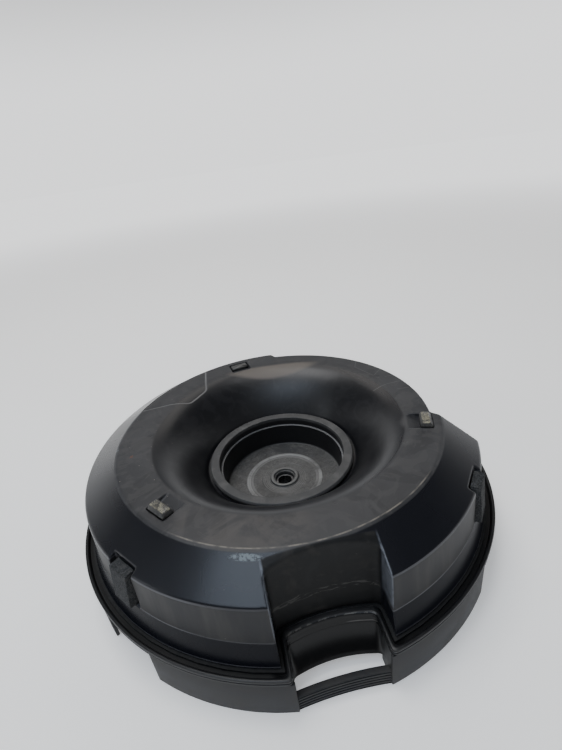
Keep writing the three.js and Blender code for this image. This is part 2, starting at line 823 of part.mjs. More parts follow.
const port = turned([
  [portBore + 6, coverFace - 2],
  [portBore + portWall + 6, coverFace - 2],
  [portBore + portWall + 6, coverFace - gap],
  [portBore + portWall, coverFace - gap],
  [portBore + portWall, portTop - 3],
  [portBore + portWall + 2.5, portTop],
  [portBore + 2.5, portTop],
  [portBore, portTop - 4],
  [portBore, coverFace + 5],
], smallSegments);
addPiece("reflex_port", placed(port, portOffset, portAngle), socketPlastic);

// ---- Amplifier ----------------------------------------------------------------------------

const amplifier = new THREE.Group();
amplifier.position.set(...polar(ampOffset, ampAngle), 0);
amplifier.rotation.z = radians(ampAngle);
enclosure.add(amplifier);

const boardWidth = ampWidth - 2 * ampOverlap - 4;
const boardLength = ampLength - 2 * ampOverlap - 4;
const boardFoot = coverTop + boardLift;
const boardTop = boardFoot + boardHeight;

function heatSink() {
  const plateTop = coverFace - gap;
  const plateFace = plateTop - ampPlate;
  let sink = toSolid(box(ampWidth, ampLength, plateFace, plateTop));
  const finSpan = ampLength - 3 * ampOverlap;
  const pitch = (ampWidth - 4 * ampOverlap) / (finCount - 1);
  for (let i = 0; i < finCount; i += 1) {
    const across = (i - (finCount - 1) / 2) * pitch;
    const fin = box(2, finSpan, plateFace - finHeight, plateFace + 0.5);
    sink = sink.add(toSolid(fin.translate(across, 0, 0)));
  }
  for (const [across, along] of ampScrewSpots) {
    const hole = disc(screwRadius + gap, plateFace - 1, plateTop + 1, screwSegments);
    const pillar = disc(3, plateTop - 0.5, boardFoot - gap, screwSegments);
    const inwards = 1 - (3 * ampOverlap) / ampWidth;
    sink = sink
      .subtract(toSolid(hole.translate(across, along, 0)))
      .add(toSolid(pillar.translate(across * inwards, along * inwards, 0)));
  }
  return sink;
}

addPiece("amplifier_heat_sink", heatSink(), castAlloy, amplifier);
addPiece("amplifier_board", box(boardWidth, boardLength, boardFoot, boardTop), circuitBoard, amplifier);

const coil = ring(4, 9, boardTop + gap, boardTop + 8, 24).translate(-10, 22, 0);
addPiece("output_choke", coil, copper, amplifier);
[-12, 4].forEach((along, i) => {
  const can = disc(6, boardTop + gap, boardTop + 20, 20).translate(12, along, 0);
  addPiece(`capacitor_${i + 1}`, can, rubber, amplifier);
});
const socketSpot = [-12, -18];
const socketTop = boardTop + socketHeight;
const socketBlock = toSolid(box(socketWidth, socketLength, boardTop + gap, socketTop));
const socketMouth = toSolid(box(socketWidth - 4, socketLength - 4, boardTop + 3, socketTop + 1));
const socket = addPiece("harness_socket", socketBlock.subtract(socketMouth), socketPlastic, amplifier);
socket.position.set(...socketSpot, 0);

// ---- Harness from the amplifier to the driver, and the wadding ----------------------------

const turnedPoint = ([x, y], angle) =>
  new THREE.Vector2(x, y).rotateAround(new THREE.Vector2(), radians(angle));

function harness() {
  const [ampX, ampY] = polar(ampOffset, ampAngle);
  const [driverX, driverY] = polar(driverOffset, driverAngle);
  const plug = turnedPoint(socketSpot, ampAngle).add(new THREE.Vector2(ampX, ampY));
  const terminalEnd = terminalReach + terminalDepth / 2 + gap;
  const terminalLevel = terminalFoot + 4;
  const landing = (reach) =>
    turnedPoint([0, reach], driverAngle).add(new THREE.Vector2(driverX, driverY));
  const end = landing(terminalEnd);
  const beforeEnd = landing(terminalEnd + 10);
  const points = [
    new THREE.Vector3(plug.x, plug.y, boardTop + 5),
    new THREE.Vector3(plug.x, plug.y, socketTop + 6),
  ];
  for (let angle = ampAngle - 30; angle >= ampAngle - 135; angle -= 15) {
    points.push(new THREE.Vector3(...polar(harnessRing, angle), harnessLevel));
  }
  points.push(new THREE.Vector3(beforeEnd.x, beforeEnd.y, terminalLevel + 1));
  points.push(new THREE.Vector3(end.x, end.y, terminalLevel));
  const route = new THREE.CatmullRomCurve3(points, false, "centripetal");
  const section = new THREE.Shape();
  section.absarc(0, 0, harnessRadius, 0, 2 * Math.PI);
  return new THREE.ExtrudeGeometry(section, { steps: 30, extrudePath: route, curveSegments: 4 });
}
addPiece("wiring_harness", harness(), rubber);

function wadding() {
  const [from, to] = [radians(waddingFrom), radians(waddingTo)];
  const plan = new THREE.Shape();
  plan.absarc(0, 0, waddingOuter, from, to, false);
  plan.absarc(0, 0, waddingInner, to, from, true);
  const options = { depth: waddingHeight, bevelEnabled: false, curveSegments: 10 };
  return new THREE.ExtrudeGeometry(plan, options).translate(0, 0, harnessLevel + harnessRadius + 4);
}
addPiece("damping_wadding", wadding(), wool);

// ---- Screws -------------------------------------------------------------------------------

// A screw driven upwards into a face at `face`: its head hangs below, its shank runs up.
function screw(face, length) {
  const seat = face - gap;
  return turned([
    [0, seat - screwHeadHeight],
    [screwHeadRadius - 0.8, seat - screwHeadHeight],
    [screwHeadRadius, seat - 0.8],
    [screwHeadRadius, seat],
    [screwRadius, seat],
    [screwRadius - 0.5, seat + length],
    [0, seat + length],
  ], screwSegments);
}

driverScrewAngles.forEach((angle, i) => {
  const shape = screw(wellFloor - basketPlate, 9);
  const piece = addPiece(`driver_screw_${i + 1}`, shape, zincScrew, driver);
  piece.position.set(...polar(driverScrewRing, angle), 0);
});

ampScrewSpots.forEach(([across, along], i) => {
  const shape = screw(coverFace - gap - ampPlate, 8);
  const piece = addPiece(`amplifier_screw_${i + 1}`, shape, zincScrew, amplifier);
  piece.position.set(across, along, 0);
});

postAngles.forEach((angle, i) => {
  const piece = addPiece(`shell_screw_${i + 1}`, screw(coverFace, postScrewLength), zincScrew);
  piece.position.set(...polar(postRingRadius, angle), 0);
});

export default enclosure;
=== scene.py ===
"""Looks of a spare-wheel-well subwoofer enclosure, lying wheel side up on a pale floor.

Lengths in the tables below are millimetres in the row frame; MM turns them into metres.
Angles are degrees around +Z. The grip notch faces -Y (-90), the cable recess faces about +X.
"""

import json
import math
from functools import reduce

import bmesh
import bpy
from mathutils import Matrix, Vector, noise


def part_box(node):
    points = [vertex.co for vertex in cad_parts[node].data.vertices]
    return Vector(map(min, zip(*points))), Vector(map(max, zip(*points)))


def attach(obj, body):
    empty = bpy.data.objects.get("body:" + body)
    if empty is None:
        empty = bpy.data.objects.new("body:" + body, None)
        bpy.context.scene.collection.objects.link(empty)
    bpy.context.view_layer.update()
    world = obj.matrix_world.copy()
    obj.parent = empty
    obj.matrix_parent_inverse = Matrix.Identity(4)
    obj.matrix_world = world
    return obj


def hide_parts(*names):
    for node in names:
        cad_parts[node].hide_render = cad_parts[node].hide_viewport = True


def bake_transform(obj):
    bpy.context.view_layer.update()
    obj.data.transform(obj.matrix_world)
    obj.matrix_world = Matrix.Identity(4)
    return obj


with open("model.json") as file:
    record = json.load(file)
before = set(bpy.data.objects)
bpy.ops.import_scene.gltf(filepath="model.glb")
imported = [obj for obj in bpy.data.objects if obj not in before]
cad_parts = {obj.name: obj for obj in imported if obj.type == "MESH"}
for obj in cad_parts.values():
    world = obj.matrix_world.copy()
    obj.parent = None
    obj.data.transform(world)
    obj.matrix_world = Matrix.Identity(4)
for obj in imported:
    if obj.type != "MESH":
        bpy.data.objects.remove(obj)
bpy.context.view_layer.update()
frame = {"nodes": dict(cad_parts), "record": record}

MM = 0.001
ROOT = "enclosure"
CONE = "cone"


# ---- Sizes read from the frame, in mm ----

def low(node, axis):
    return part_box(node)[0][axis] / MM


def high(node, axis):
    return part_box(node)[1][axis] / MM


def middle(node):
    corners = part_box(node)
    return (corners[0] + corners[1]) / 2 / MM


RIM_RADIUS = high("cover_side_shell", 0)
RIM_TOP = high("cover_side_shell", 2)
CROWN = high("wheel_side_shell", 2)
FOOT_RADIUS = -low("wheel_side_shell", 0)
CUP_RING_OUTER = high("centre_cup", 0)
CUP_RING_TOP = high("centre_cup", 2)
CUP_UNDERSIDE = low("centre_cup", 2)
DRIVER = middle("driver_magnet")
PORT = middle("reflex_port")
AMP = middle("amplifier_board")

# ---- Other sizes of the shells, in mm ----

WALL = 3
SLOPE_TOP = 59.5
WAIST_RADIUS = FOOT_RADIUS - 5.5
SHOULDER = 93.5
SHOULDER_RADIUS = FOOT_RADIUS - 6.8
CROWN_RADIUS = 156
DISH_TOP_RADIUS = 133
DISH_FOOT_RADIUS = 77
DISH_FOOT = 65.6
PLATE_TOP = 37
LIP = 3.5
GROOVE = 3.2
COVER_FACE = 10
TUB_FOOT_RADIUS = 184
TUB_HEAD_RADIUS = 188
NOTCH_HALF = 34.8
NOTCH_BACK = 166
NOTCH_BOW = 4.5
NOTCH_CORNER = 6
NOTCH_LEAN = 0.45
RECESS_FROM = -15.3
RECESS_TO = 80
RECESS_FLARE = 12
RECESS_BACK = 149
RECESS_FLOOR = 46
BLOCK_ANGLES = (-140, -40)
GAP_ANGLES = (-40, 40, 140, 220)
BLOCK_WIDTH = 23
BLOCK_INNER = 182.5
POCKET_MARGIN = 2.5
SKIRT_GAP = 16.6
PAD_ANGLES = (-141, -21, 99)
PAD_RADIUS = 143
PAD_LENGTH = 22
PAD_WIDTH = 11
PAD_SOCKET_DEPTH = 4
RAMP_LENGTH = 13
SKIRT_WALL = 2.7
SKIRT_TOP = 34.6
CENTRE_HOLE = 10
SEAT_RADIUS = 65
WELL_RADIUS = 68
DRIVER_CUTOUT = 54
PORT_HOLE = 23.5
AMP_OPENING = (62, 84)
RIB_DEPTH = 2

# (radius, angle) of each mark, then (start, end, width) of each raised line on the crown
EJECTOR_MARKS = ((126.7, -80), (126, -35.7), (141, -28), (133, 20), (128, 171))
EMBOSSED_LINES = (
    ((149.2, 10.3), (114.5, 12.6), 0.5),
    ((150, 103), (145.8, 103), 0.45),
    ((147.6, 93.4), (143.8, 93.4), 0.45),
    ((146.5, 16.5), (139, 17.5), 0.35),
    ((146, 4), (134, 5), 0.35),
    ((146.5, 38), (134, 35), 0.35),
    ((134, 35), (131.5, 22), 0.35),
    ((146, 24), (131.5, 22), 0.35),
)


# ---- Mesh helpers ----

def polar(radius, angle):
    turn = math.radians(angle)
    return radius * math.cos(turn), radius * math.sin(turn)


def placed(name, data):
    """A new object that shows data, linked into the scene."""
    piece = bpy.data.objects.new(name, data)
    bpy.context.scene.collection.objects.link(piece)
    return piece


def from_bmesh(name, shape, sharp):
    mesh = bpy.data.meshes.new(name)
    shape.to_mesh(mesh)
    shape.free()
    piece = placed(name, mesh)
    shade(piece, sharp)
    return piece


def fine_cube(size, cuts, bevel=0.0):
    shape = bmesh.new()
    bmesh.ops.create_cube(shape, size=size)
    if bevel:
        bmesh.ops.bevel(shape, geom=shape.edges[:], offset=bevel, segments=2, affect="EDGES")
    bmesh.ops.subdivide_edges(shape, edges=shape.edges[:], cuts=cuts, use_grid_fill=True)
    return shape


def mesh_object(name, points, faces, sharp=35):
    """A smooth-shaded closed mesh from points in mm, with its normals facing out."""
    mesh = bpy.data.meshes.new(name)
    mesh.from_pydata([Vector(p) * MM for p in points], [], faces)
    shape = bmesh.new()
    shape.from_mesh(mesh)
    bmesh.ops.remove_doubles(shape, verts=shape.verts, dist=1e-7)
    bmesh.ops.recalc_face_normals(shape, faces=shape.faces)
    shape.to_mesh(mesh)
    shape.free()
    piece = placed(name, mesh)
    shade(piece, sharp)
    return piece


def shade(piece, sharp=35):
    mesh = piece.data
    mesh.polygons.foreach_set("use_smooth", [True] * len(mesh.polygons))
    mesh.set_sharp_from_angle(angle=math.radians(sharp))


def loft(name, rings, closed=False, sharp=35):
    """Skin over rings with equal point counts. An open loft gets a flat cap at each end."""
    count = len(rings[0])
    points = [p for ring in rings for p in ring]
    faces = []
    for i in range(len(rings) - (0 if closed else 1)):
        a = i * count
        b = (i + 1) % len(rings) * count
        for j in range(count):
            k = (j + 1) % count
            faces.append((a + j, a + k, b + k, b + j))
    if not closed:
        faces.append(tuple(reversed(range(count))))
        faces.append(tuple(range(len(points) - count, len(points))))
    return mesh_object(name, points, faces, sharp)


def curve(a, b, c, steps):
    """Points of a bow from a to c, pulled towards b, without a itself."""
    spots = []
    for i in range(1, steps + 1):
        t = i / steps
        spots.append(tuple((1 - t) ** 2 * a[k] + 2 * t * (1 - t) * b[k] + t * t * c[k] for k in (0, 1)))
    return spots


def rounded(outline, steps=5):
    """A closed outline of (x, y) or (x, y, corner radius) points, with its corners rounded."""
    result = []
    for i, point in enumerate(outline):
        here = Vector(point[:2])
        if len(point) < 3:
            result.append(tuple(here))
            continue
        before = Vector(outline[i - 1][:2]) - here
        after = Vector(outline[(i + 1) % len(outline)][:2]) - here
        half_angle = before.angle(after) / 2
        reach = point[2] / math.tan(half_angle)
        start = here + before.normalized() * min(reach, before.length * 0.48)
        end = here + after.normalized() * min(reach, after.length * 0.48)
        for step in range(steps + 1):
            t = step / steps
            spot = start * (1 - t) ** 2 + here * 2 * t * (1 - t) + end * t ** 2
            result.append(tuple(spot))
    return result


def lathe(name, outline, segments=180, centre=(0, 0), sharp=35, steps=5):
    """A closed (radius, height) outline turned about a vertical axis."""
    section = rounded(outline, steps)
    rings = []
    for i in range(segments):
        c, s = polar(1, 360 * i / segments)
        rings.append([(centre[0] + r * c, centre[1] + r * s, z) for r, z in section])
    return loft(name, rings, True, sharp)


def prism(name, plan, foot, top, angle=0, shift=(0, 0), sharp=35):
    """A plan in mm, raised from foot to top, turned by angle and moved."""
    turn = Matrix.Rotation(math.radians(angle), 2)
    flat = [turn @ Vector(p) + Vector(shift) for p in plan]
    rings = [[(p.x, p.y, z) for p in flat] for z in (foot, top)]
    return loft(name, rings, sharp=sharp)


def rectangle(x, y):
    return [(-x / 2, -y / 2), (x / 2, -y / 2), (x / 2, y / 2), (-x / 2, y / 2)]


def circle(radius, segments=48, centre=(0, 0)):
    spots = [polar(radius, 360 * i / segments) for i in range(segments)]
    return [(centre[0] + x, centre[1] + y) for x, y in spots]


def bake_modifiers(piece, sharp=35):
    """Turns a piece's modifiers into its own mesh."""
    bpy.context.view_layer.update()
    evaluated = piece.evaluated_get(bpy.context.evaluated_depsgraph_get())
    mesh = bpy.data.meshes.new_from_object(evaluated)
    piece.modifiers.clear()
    piece.data = mesh
    mesh.name = piece.name
    shade(piece, sharp)
    return piece


def combine(piece, tool, operation):
    modifier = piece.modifiers.new("combine", "BOOLEAN")
    modifier.operation = operation
    modifier.solver = "MANIFOLD"
    modifier.object = tool
    bake_modifiers(piece)
    bpy.data.objects.remove(tool)
    return piece


def cut(piece, *tools):
    for tool in tools:
        combine(piece, tool, "DIFFERENCE")
    return piece


def add(piece, *tools):
    for tool in tools:
        combine(piece, tool, "UNION")
    return piece


def softened(piece, passes, group=""):
    """Smooths a piece's mesh, or only the part of it in a vertex group."""
    soften = piece.modifiers.new("soften", "SMOOTH")
    soften.factor = 0.5
    soften.iterations = passes
    soften.vertex_group = group
    return bake_modifiers(piece, 60)


def moulded(piece, voxel):
    """Gives every edge of a piece the small radius of a moulding."""
    remesh = piece.modifiers.new("remesh", "REMESH")
    remesh.mode = "VOXEL"
    remesh.voxel_size = voxel * MM
    return softened(piece, 3)


def bevelled(piece, width, angle):
    modifier = piece.modifiers.new("bevel", "BEVEL")
    modifier.width = width * MM
    modifier.segments = 2
    modifier.limit_method = "ANGLE"
    modifier.angle_limit = math.radians(angle)
    modifier.use_clamp_overlap = True
    return bake_modifiers(piece)


# ---- Material helpers ----

class Surface:
    """One procedural material: a Principled shader and the nodes that feed it."""

    def __init__(self, name, roughness=0.5, metallic=0.0, specular=0.5):
        self.material = bpy.data.materials.new(name)
        self.material.use_nodes = True
        self.tree = self.material.node_tree
        self.shader = self.tree.nodes["Principled BSDF"]
        self.shader.inputs["Metallic"].default_value = metallic
        self.shader.inputs["Roughness"].default_value = roughness
        self.shader.inputs["Specular IOR Level"].default_value = specular
        self.place = self.node("TexCoord").outputs["Object"]
        self.height = None

    def node(self, kind, **values):
        """A new shader node, with some of its inputs set by name."""
        node = self.tree.nodes.new("ShaderNode" + kind)
        for name, value in values.items():
            node.inputs[name].default_value = value
        return node

    def link(self, source, target):
        if isinstance(source, (int, float)):
            target.default_value = source
        elif isinstance(source, tuple):
            target.default_value = (*source, 1)[: len(target.default_value)]
        else:
            self.tree.links.new(source, target)

    def math(self, operation, *values):
        node = self.node("Math")
        node.operation = operation
        for value, socket in zip(values, node.inputs):
            self.link(value, socket)
        return node.outputs[0]

    def fade(self, value, start, end, low=0.0, high=1.0):
        """Low below start, high past end, with a smooth step between."""
        node = self.node("MapRange")
        node.interpolation_type = "SMOOTHSTEP"
        for index, number in enumerate((value, start, end, low, high)):
            self.link(number, node.inputs[index])
        return node.outputs[0]

    def span(self, value, start, end, low=0.0, high=1.0):
        """The fade of a length, with start and end in mm."""
        return self.fade(value, start * MM, end * MM, low, high)

    def noise(self, scale, detail=4, roughness=0.55, distortion=0.0, stretch=None):
        node = self.node("TexNoise", Scale=scale, Detail=detail, Roughness=roughness)
        node.inputs["Distortion"].default_value = distortion
        place = self.place
        if stretch:
            mapping = self.node("Mapping", Scale=stretch)
            self.link(place, mapping.inputs["Vector"])
            place = mapping.outputs[0]
        self.link(place, node.inputs["Vector"])
        return node.outputs[0]

    def specks(self, scale, size, share):
        """Small round specks, in the given share of the cells of a cell pattern."""
        node = self.node("TexVoronoi", Scale=scale)
        self.link(self.place, node.inputs["Vector"])
        near = self.fade(node.outputs["Distance"], size * 0.6, size, 1, 0)
        split = self.node("SeparateColor")
        self.link(node.outputs["Color"], split.inputs[0])
        return self.all(near, self.fade(split.outputs[0], share, share + 0.02, 1, 0))

    def position(self):
        split = self.node("SeparateXYZ")
        self.link(self.place, split.inputs[0])
        return split.outputs

    def radius(self):
        x, y, _ = self.position()
        return self.math("SQRT", self.math("ADD", self.all(x, x), self.all(y, y)))

    def near(self, value, target, reach):
        """1 where a length is within reach of target, in mm, fading out at its edge."""
        away = self.math("ABSOLUTE", self.math("SUBTRACT", value, target * MM))
        return self.span(away, reach * 0.6, reach, 1, 0)

    def between(self, value, start, end, soft):
        """1 where a length lies between start and end, in mm."""
        rise = self.span(value, start - soft, start + soft)
        return self.all(rise, self.span(value, end - soft, end + soft, 1, 0))

    def along(self, start, direction, reach=1.0):
        """Distance in plan from start along a direction, as a share of reach."""
        x, y, _ = self.position()
        dx = self.math("SUBTRACT", x, start.x)
        dy = self.math("SUBTRACT", y, start.y)
        return self.math("ADD", self.all(dx, direction.x / reach), self.all(dy, direction.y / reach))

    def patch(self, radius, angle, across, along):
        """An oval patch, in mm, at a place given by radius and angle."""
        centre = Vector(polar(radius, angle)) * MM
        outward = Vector(polar(1, angle))
        radial = self.along(centre, outward, across * MM)
        sideways = self.along(centre, outward.orthogonal(), along * MM)
        away = self.math("ADD", self.all(radial, radial), self.all(sideways, sideways))
        return self.fade(away, 0.35, 1, 1, 0)

    def stroke(self, start, end, width):
        """A thin straight line in plan between two (radius, angle) places, width in mm."""
        a = Vector(polar(*start)) * MM
        b = Vector(polar(*end)) * MM
        direction = (b - a).normalized()
        run = self.along(a, direction)
        off = self.along(a, direction.orthogonal())
        return self.all(self.near(off, 0, width), self.between(run, 0, (b - a).length / MM, 0.8))

    def stored(self, name):
        """A number stored on the mesh."""
        node = self.node("Attribute")
        node.attribute_name = name
        return node.outputs["Fac"]

    def either(self, *masks):
        return reduce(lambda a, b: self.math("MAXIMUM", a, b), masks)

    def all(self, *masks):
        return reduce(lambda a, b: self.math("MULTIPLY", a, b), masks)

    def blend(self, share, first, second, kind="FLOAT", sockets=(0, 2, 3), output=0):
        """A number between first and second."""
        node = self.node("Mix")
        node.data_type = kind
        for index, value in zip(sockets, (share, first, second)):
            self.link(value, node.inputs[index])
        return node.outputs[output]

    def mix(self, share, first, second):
        """A colour between first and second."""
        return self.blend(share, first, second, "RGBA", (0, 6, 7), 2)

    def layered(self, color, *layers):
        """Lays tones over a colour, from (mask, share, tone) rows."""
        for mask, share, tone in layers:
            color = self.mix(mask if share == 1 else self.all(mask, share), color, tone)
        return color

    def bump(self, height, strength, distance):
        node = self.node("Bump", Strength=strength, Distance=distance * MM)
        self.link(height, node.inputs["Height"])
        if self.height is not None:
            self.link(self.height, node.inputs["Normal"])
        self.height = node.outputs[0]

    def done(self, color, roughness=None):
        self.link(color, self.shader.inputs["Base Color"])
        if roughness is not None:
            self.link(roughness, self.shader.inputs["Roughness"])
        if self.height is not None:
            self.link(self.height, self.shader.inputs["Normal"])
        return self.material


def shell_material():
    """Black plastic: grained on the crown, polished on the cone and slope, matte on the band, with painted
    light and shade on the crown, a painted highlight on the dish's far wall and painted highlight lines
    along its edges.
    """
    s = Surface("shell_plastic")
    x, y, z = s.position()
    radius = s.radius()
    sockets = s.either(*(s.patch(PAD_RADIUS - 6, angle, 20, 17) for angle in PAD_ANGLES))
    ramps = s.all(sockets, s.span(z, CROWN - 4.4, CROWN - 4), s.span(radius, 155.3, 156, 1, 0))
    crown = s.either(s.span(z, CROWN - 1.6, CROWN - 0.9), ramps)
    dish = s.span(radius, 104, 128, 1, 0)
    outer = s.span(radius, 180, 184)
    band = s.all(outer, s.between(z, SLOPE_TOP + 0.5, SHOULDER - 1.4, 0.5))
    slope = s.all(outer, s.span(z, SLOPE_TOP - 0.4, SLOPE_TOP + 0.2, 1, 0))
    sideways = s.math("ABSOLUTE", x)
    notch = s.all(s.span(sideways, 40.2, 41.2, 1, 0), s.span(y, -157.5, -156, 1, 0))

    mottle = s.noise(26, 5, 0.62, 0.6)
    cloud = s.noise(9, 3, 0.5, 0.3)
    streaks = s.noise(60, 4, 0.6, 0.2, (1, 1, 0.12))
    smears = s.noise(40, 4, 0.65, 1.2)
    fine = s.noise(260, 4, 0.65, 0.6)
    wiped = s.fade(s.noise(15, 5, 0.55, 1.8), 0.52, 0.58)
    rubs = s.fade(s.noise(34, 6, 0.6, 2.4), 0.5, 0.57)
    dusty = s.all(s.patch(132, -112, 34, 62), s.fade(mottle, 0.44, 0.62))
    # painted highlight: a pale warm reflection patch on the dish's far wall
    far_wall_highlight = s.all(s.patch(117, 82, 11, 62), s.fade(cloud, 0.2, 0.7, 0.45, 1))

    black = s.mix(s.fade(cloud, 0.35, 0.7), (0.0042, 0.0047, 0.0072), (0.0068, 0.0074, 0.0102))
    grey = s.layered(
        s.mix(s.fade(mottle, 0.36, 0.64), (0.0162, 0.0168, 0.0195), (0.0305, 0.0308, 0.0332)),
        # painted light: the crown lightened towards the front
        (s.span(y, -20, -140), 0.3, (0.043, 0.0415, 0.0415)),
        (wiped, 0.45, (0.0125, 0.0128, 0.0145)),
        (rubs, 0.3, (0.052, 0.0505, 0.05)),
        # painted shade: the crown darkened towards the back
        (s.span(y, 20, 130), 0.4, (0.0105, 0.011, 0.0135)),
        (dusty, 0.45, (0.078, 0.07, 0.063)),
    )
    matte = s.mix(s.fade(streaks, 0.4, 0.7), (0.0165, 0.0168, 0.0185), (0.033, 0.032, 0.031))
    inside = s.mix(s.fade(cloud, 0.35, 0.75), (0.006, 0.0062, 0.0078), (0.0125, 0.0125, 0.0135))
    inside = s.mix(s.all(rubs, 0.25), inside, (0.024, 0.024, 0.026))
    walls = s.mix(s.fade(smears, 0.5, 0.72), (0.0085, 0.0088, 0.0092), (0.0185, 0.018, 0.017))

    scraped = s.fade(s.noise(150, 4, 0.6, 0.8, (0.5, 1, 2)), 0.5, 0.6)
    uneven = s.fade(s.noise(120, 3), 0.36, 0.6, 0.15, 0.9)
    # painted highlight along the front of the crown's outer edge
    crown_edge_highlight = s.all(s.near(radius, CROWN_RADIUS - 0.4, 0.7), s.span(y, -112, -128), uneven)
    bright = s.fade(s.noise(11, 2), 0.35, 0.65, 0.25, 1)
    # painted highlights: light lines along the waist crease, the shoulder edge and the shell's foot
    waist_highlight = s.all(outer, s.near(z, SLOPE_TOP + 0.1, 0.6), bright)
    shoulder_highlight = s.all(s.span(radius, 179, 181), s.near(z, SHOULDER - 0.6, 0.8), bright)
    foot = s.all(outer, s.near(z, RIM_TOP + 0.3, 0.6))
    # painted highlight along the notch's side edges
    notch_edge = s.all(s.near(sideways, 41.9, 0.9), s.between(z, 64, 107, 4))
    notch_edge = s.all(notch_edge, s.span(y, -154, -158), s.fade(uneven, 0, 0.6, 0.35, 1))
    lines = s.either(*(s.stroke(*line) for line in EMBOSSED_LINES))
    lines = s.all(lines, s.span(z, CROWN - 6, CROWN - 5))
    specks = s.all(s.specks(330, 0.16, 0.04), s.span(x, -70, -120), crown)
    rust = s.all(s.patch(141.6, -175.9, 3.2, 2.6), s.fade(s.noise(700, 3), 0.5, 0.6))
    flecks = s.blend(0.5, fine, s.noise(520, 3, 0.6, 0.5))
    scratch = s.all(s.patch(160.9, -108.4, 2.7, 14), s.fade(flecks, 0.43, 0.52))
    chip = s.all(s.patch(173.5, -104.1, 4, 1.2), s.fade(fine, 0.5, 0.62))
    nick = s.all(s.patch(157, 177.5, 1.4, 4), s.fade(fine, 0.45, 0.6))
    pale = s.either(scratch, s.all(chip, 0.6), nick)
    color = s.layered(
        s.mix(dish, s.mix(crown, black, grey), inside),
        # painted highlight on the dish's far wall
        (far_wall_highlight, 0.75, (0.125, 0.105, 0.088)),
        (band, 1, matte),
        (notch, 1, walls),
        (s.all(notch, s.near(z, 64, 4), scraped), 0.6, (0.062, 0.06, 0.056)),
        (s.all(crown_edge_highlight, s.span(z, 109.5, 110.5)), 1, (0.155, 0.14, 0.118)),
        # painted highlight lines
        (s.either(waist_highlight, shoulder_highlight, foot), 0.6, (0.088, 0.09, 0.1)),
        # painted highlight on the notch edges
        (notch_edge, 0.7, (0.105, 0.115, 0.135)),
        (s.either(s.all(s.stored("panel_edge"), 0.95), s.all(lines, 0.55)), 1, (0.105, 0.104, 0.104)),
        (s.either(specks, s.all(s.specks(160, 0.07, 0.03), 0.5)), 1, (0.21, 0.19, 0.165)),
        (rust, 1, (0.13, 0.045, 0.02)),
        (pale, 0.7, (0.21, 0.25, 0.275)),
    )

    sheen = s.fade(s.noise(14, 2, 0.4), 0.3, 0.7, 0.24, 0.31)
    rough = s.blend(crown, sheen, s.fade(mottle, 0.3, 0.75, 0.46, 0.58))
    for mask, level in (
        (s.all(dish, 0.85), s.fade(cloud, 0.3, 0.7, 0.33, 0.42)),
        (s.all(far_wall_highlight, 0.8), 0.5),
        (band, 0.5),
        (slope, sheen),
        (notch, s.fade(smears, 0.3, 0.7, 0.44, 0.58)),
        (pale, 0.7),
    ):
        rough = s.blend(mask, rough, level)
    shine = s.blend(slope, s.blend(band, s.blend(notch, 0.36, 0.16), 0.22), 0.11)
    s.link(shine, s.shader.inputs["Specular IOR Level"])
    s.bump(s.noise(1500, 2, 0.7), 0.12, 0.12)
    s.bump(s.noise(9, 2), 0.05, 3)
    return s.done(color, rough)


def cover_material():
    """Grained black plastic with scuffs, a little glossier on the lip, with painted shade in the groove
    behind it.
    """
    s = Surface("cover_plastic", specular=0.26)
    x, y, z = s.position()
    lip = s.span(z, RIM_TOP - 4.5, RIM_TOP - 3.5)
    smears = s.noise(38, 5, 0.62, 0.8)
    scuffs = s.noise(210, 4, 0.7, 0.4, (1, 1, 0.3))
    in_notch = s.all(s.span(s.math("ABSOLUTE", x), 34.3, 34.6, 1, 0), s.span(z, 13.4, 14))
    in_notch = s.all(in_notch, s.between(y, -190, -152, 2))
    # painted shade: the groove behind the lip, and the plate under it, near black
    groove = s.all(s.span(z, 38, 38.4, 1, 0), s.span(z, 33, 34), s.between(s.radius(), 150, 201.7, 0.2))
    worn = s.all(s.near(z, 40.5, 0.35), in_notch, s.fade(scuffs, 0.46, 0.58))
    rub = s.all(s.near(z, RIM_TOP - 5.6, 0.4), s.fade(s.noise(16, 2), 0.55, 0.68))
    color = s.layered(
        s.mix(s.fade(smears, 0.35, 0.7), (0.015, 0.0153, 0.0172), (0.027, 0.0262, 0.0256)),
        (lip, 0.75, (0.009, 0.0092, 0.01)),
        (in_notch, 1, (0.0048, 0.0049, 0.0056)),
        # painted shade in the groove
        (groove, 1, (0.0035, 0.0036, 0.004)),
        (s.all(in_notch, s.span(z, 40.3, 40.7)), 1, (0.024, 0.024, 0.0245)),
        (worn, 0.6, (0.13, 0.125, 0.115)),
        (rub, 0.6, (0.12, 0.115, 0.11)),
    )
    rough = s.blend(lip, s.fade(smears, 0.3, 0.7, 0.5, 0.6), 0.38)
    rough = s.blend(in_notch, rough, 0.3)
    s.bump(s.noise(1300, 2, 0.7), 0.16, 0.12)
    s.bump(smears, 0.05, 1.2)
    return s.done(color, rough)


